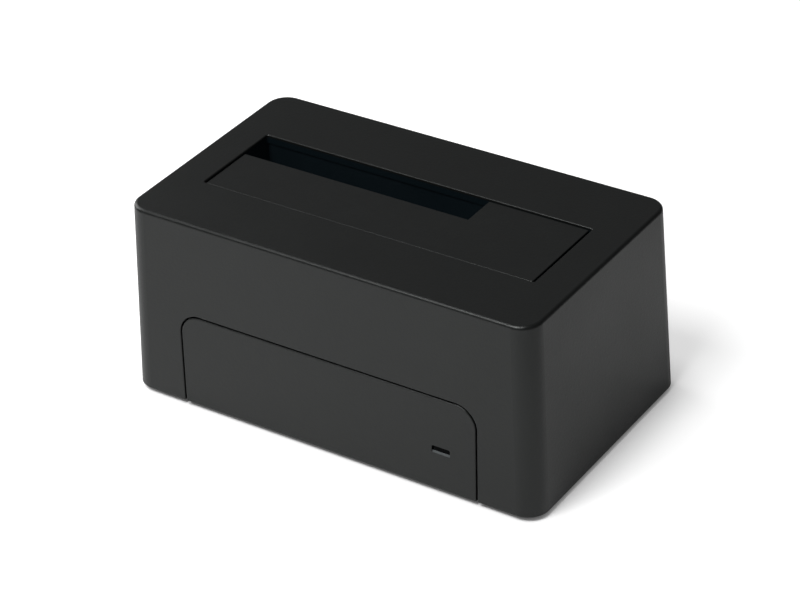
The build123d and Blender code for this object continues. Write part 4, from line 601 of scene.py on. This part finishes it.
def sleeved_can():
    """Capacitor: dark sleeve with one pale stripe, rolled over a bare aluminium top."""
    shader = Shader("sleeved_can")
    low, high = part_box("electrolytic_capacitors")
    board_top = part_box("circuit_board")[1].z
    grain = shader.noise(CAN_GRAIN_SIZE, CLOUDY)
    near, far = CAN_BARE_DEPTHS
    bare = shader.rising(shader.axis("Z"), high.z - far, high.z - near)
    end = shader.falling(shader.axis("Z"), board_top, board_top + CAN_END_HEIGHT)
    near, far = CAN_STRIPE_WIDTHS
    stripe = shader.falling(shader.axis("Y"), low.y + near, low.y + far)
    metal = shader.combine("MAXIMUM", bare, end)
    shader.colour(shader.blend(metal, shader.blend(stripe, SLEEVE_COLOUR, STRIPE_COLOUR), CAN_COLOUR))
    shader.link(metal, shader.surface.inputs["Metallic"])
    shader.rough(shader.spread(grain, *CAN_ROUGHNESS))
    shader.bump((grain, CAN_GRAIN_DEPTH))
    return shader.material


def ceramic():
    """Fired body of the ceramic chips."""
    shader = Shader("ceramic")
    grain = shader.noise(CERAMIC_GRAIN_SIZE, CLOUDY)
    shader.colour(shader.mottled(grain, CERAMIC_COLOURS))
    shader.rough(shader.spread(grain, *CERAMIC_ROUGHNESS))
    shader.bump((grain, CERAMIC_GRAIN_DEPTH))
    return shader.material


def dress_nodes():
    """Gives every carried-over node its material."""
    case = case_plastic()
    inner = moulded_plastic("inner_plastic", BAY_COLOUR, roughness=0.42)
    nylon = moulded_plastic("connector_nylon", NYLON_COLOUR, roughness=0.36, look=NYLON_LOOK)
    button = moulded_plastic("button_plastic", BUTTON_COLOUR, roughness=0.38, look=POLISHED_LOOK)
    blue = moulded_plastic("port_insulator", INSULATOR_COLOUR, roughness=0.35, look=POLISHED_LOOK)
    epoxy = moulded_plastic("chip_epoxy", EPOXY_COLOUR, roughness=0.55, look=EPOXY_LOOK)
    ferrite = moulded_plastic("coil_ferrite", FERRITE_COLOUR, roughness=0.6, look=FERRITE_LOOK)
    steel = drawn_metal("drawn_steel", STEEL_COLOUR, roughness=0.28, stretch=SHAFT_STRETCH)
    spring_steel = drawn_metal("spring_steel", SPRING_COLOUR, roughness=0.3)
    zinc = drawn_metal("zinc_plate", ZINC_COLOUR, roughness=0.34, tarnish=0.4)
    tin = drawn_metal("tin_plate", TIN_COLOUR, roughness=0.30, stretch=LEAD_STRETCH)
    gold = drawn_metal("contact_gold", GOLD_COLOUR, roughness=0.22, tarnish=0.15)
    rubber = foot_rubber()
    finishes = {
        "housing": case,
        "base_tray": case,
        "drive_flap": case,
        "drive_cradle": inner,
        "power_button": button,
        "switch_plunger": inner,
        "power_switch_housing": nylon,
        "flap_shaft": steel,
        "shaft_clips": spring_steel,
        "left_flap_spring": spring_steel,
        "right_flap_spring": spring_steel,
        "switch_spring": spring_steel,
        "base_screws": zinc,
        "cradle_screws": zinc,
        "board_screws": zinc,
        "circuit_board": board_laminate(),
        "drive_connector_housing": nylon,
        "drive_connector_contacts": gold,
        "data_port_shell": tin,
        "data_port_insulator": blue,
        "data_port_contacts": gold,
        "power_jack_housing": nylon,
        "power_jack_pin": tin,
        "power_jack_leaf": tin,
        "switch_pins": tin,
        "light_pipe": window_lens(),
        "status_lamp": lamp_resin(),
        "bridge_chip": epoxy,
        "memory_chip": epoxy,
        "voltage_regulator": epoxy,
        "resistors": epoxy,
        "bridge_chip_leads": tin,
        "memory_chip_leads": tin,
        "voltage_regulator_leads": tin,
        "crystal": tin,
        "electrolytic_capacitors": sleeved_can(),
        "power_coil": ferrite,
        "ceramic_capacitors": ceramic(),
    }
    for corner in ("front_left", "front_right", "rear_left", "rear_right"):
        finishes[f"{corner}_foot"] = rubber
    missing = sorted(set(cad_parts) - set(finishes))
    if missing:
        raise SystemExit(f"no finish for {missing}")
    for name, material in finishes.items():
        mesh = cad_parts[name].data
        mesh.materials.clear()
        mesh.materials.append(material)


def spring_wire(name):
    """Copy of a carried-over spring that may change its shape, in the same place and with the same metal."""
    wire = bpy.data.objects.new(f"{name}_wire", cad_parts[name].data.copy())
    bpy.context.scene.collection.objects.link(wire)
    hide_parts(name)
    return wire


def flex_springs():
    """Puts copies in place of the springs: the torsion springs' copies with their placement baked into the
    mesh, the switch's spring's copy hung on the case's body with a mesh of its own.
    """
    for side, name in ((1, "right_flap_spring"), (-1, "left_flap_spring")):
        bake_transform(spring_wire(name))
    wire = spring_wire("switch_spring")
    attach(wire, "case")
    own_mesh(wire)


def floor_paper():
    """Paper of the floor: the camera sees it lifted towards white, with the object's soft shadow on it,
    deepened close to the object by a painted contact shadow where ambient occlusion holds the lift back.
    """
    shader = Shader("floor_paper")
    fibres = shader.noise(FLOOR_FIBRE_SIZE, CLOUDY)
    shader.colour(shader.mottled(fibres, (scaled(FLOOR_COLOUR, FLOOR_FIBRE_TONE), FLOOR_COLOUR)))
    shader.rough(shader.spread(fibres, *FLOOR_ROUGHNESS))
    # Ambient occlusion scales the camera's lift down near the object: a painted contact shadow
    open_sky = shader.node("ShaderNodeAmbientOcclusion", samples=FLOOR_LIFT_SAMPLES)
    open_sky.inputs["Distance"].default_value = FLOOR_LIFT_REACH
    distance = shader.node("ShaderNodeVectorMath", operation="LENGTH")
    shader.link(shader.place, distance.inputs[0])
    lift = shader.spread(distance.outputs["Value"], FLOOR_LIFT, FLOOR_FULL_LIFT, FLOOR_FADE)
    glow = shader.node("ShaderNodeEmission")
    shader.link(shader.product(open_sky.outputs["AO"], lift), glow.inputs["Color"])
    lifted = shader.node("ShaderNodeAddShader")
    shader.link(shader.surface.outputs[0], lifted.inputs[0])
    shader.link(glow.outputs[0], lifted.inputs[1])
    seen = shader.node("ShaderNodeMixShader")
    shader.link(shader.node("ShaderNodeLightPath").outputs["Is Camera Ray"], seen.inputs["Fac"])
    shader.link(shader.surface.outputs[0], seen.inputs[1])
    shader.link(lifted.outputs[0], seen.inputs[2])
    shader.link(seen.outputs[0], shader.output.inputs["Surface"])
    return shader.material


def make_floor():
    """Flat square of paper under the object."""
    mesh = bpy.data.meshes.new("floor")
    made = bmesh.new()
    bmesh.ops.create_grid(made, x_segments=2, y_segments=2, size=FLOOR_SIZE / 2)
    made.to_mesh(mesh)
    made.free()
    floor = bpy.data.objects.new("floor", mesh)
    bpy.context.scene.collection.objects.link(floor)
    mesh.materials.append(floor_paper())


def make_world():
    """White behind the object for the camera; elsewhere a dim studio with one soft pale wall."""
    world = bpy.data.worlds.new("studio")
    bpy.context.scene.world = world
    world.use_nodes = True
    tree = world.node_tree

    def node(kind, **inputs):
        made = tree.nodes.new(kind)
        for name, value in inputs.items():
            made.inputs[name.replace("_", " ")].default_value = value
        return made

    place = node("ShaderNodeTexCoord")
    facing = node("ShaderNodeVectorMath")
    facing.operation = "DOT_PRODUCT"
    facing.inputs[1].default_value = bearing(*WALL_BEARING)
    tree.links.new(place.outputs["Generated"], facing.inputs[0])
    edges = {"From_Min": math.cos(WALL_REACH), "From_Max": math.cos(WALL_CORE)}
    wall = node("ShaderNodeMapRange", **edges, To_Min=STUDIO_LEVEL, To_Max=STUDIO_LEVEL + WALL_LEVEL)
    wall.interpolation_type = "SMOOTHSTEP"
    tree.links.new(facing.outputs["Value"], wall.inputs["Value"])
    studio = tree.nodes["Background"]
    tree.links.new(wall.outputs["Result"], studio.inputs["Color"])
    white = node("ShaderNodeBackground", Color=WHITE)
    seen = node("ShaderNodeMixShader")
    tree.links.new(node("ShaderNodeLightPath").outputs["Is Camera Ray"], seen.inputs["Fac"])
    tree.links.new(studio.outputs[0], seen.inputs[1])
    tree.links.new(white.outputs[0], seen.inputs[2])
    tree.links.new(seen.outputs[0], tree.nodes["World Output"].inputs["Surface"])


def place_lamp(name, azimuth, elevation, distance, side, power):
    """Soft square lamp that looks at the middle of the object from a bearing."""
    data = bpy.data.lights.new(name, "AREA")
    data.shape = "SQUARE"
    data.size = side
    data.energy = power
    lamp = bpy.data.objects.new(name, data)
    bpy.context.scene.collection.objects.link(lamp)
    back = bearing(azimuth, elevation)
    lamp.location = CAMERA_TARGET + back * distance
    lamp.rotation_mode = "QUATERNION"
    lamp.rotation_quaternion = (-back).to_track_quat("-Z", "Y")


bpy.context.scene.view_settings.view_transform = "Standard"
place_camera()
dress_nodes()
flex_springs()
make_floor()
make_world()
for lamp_name, lamp_settings in LAMPS.items():
    place_lamp(lamp_name, **lamp_settings)
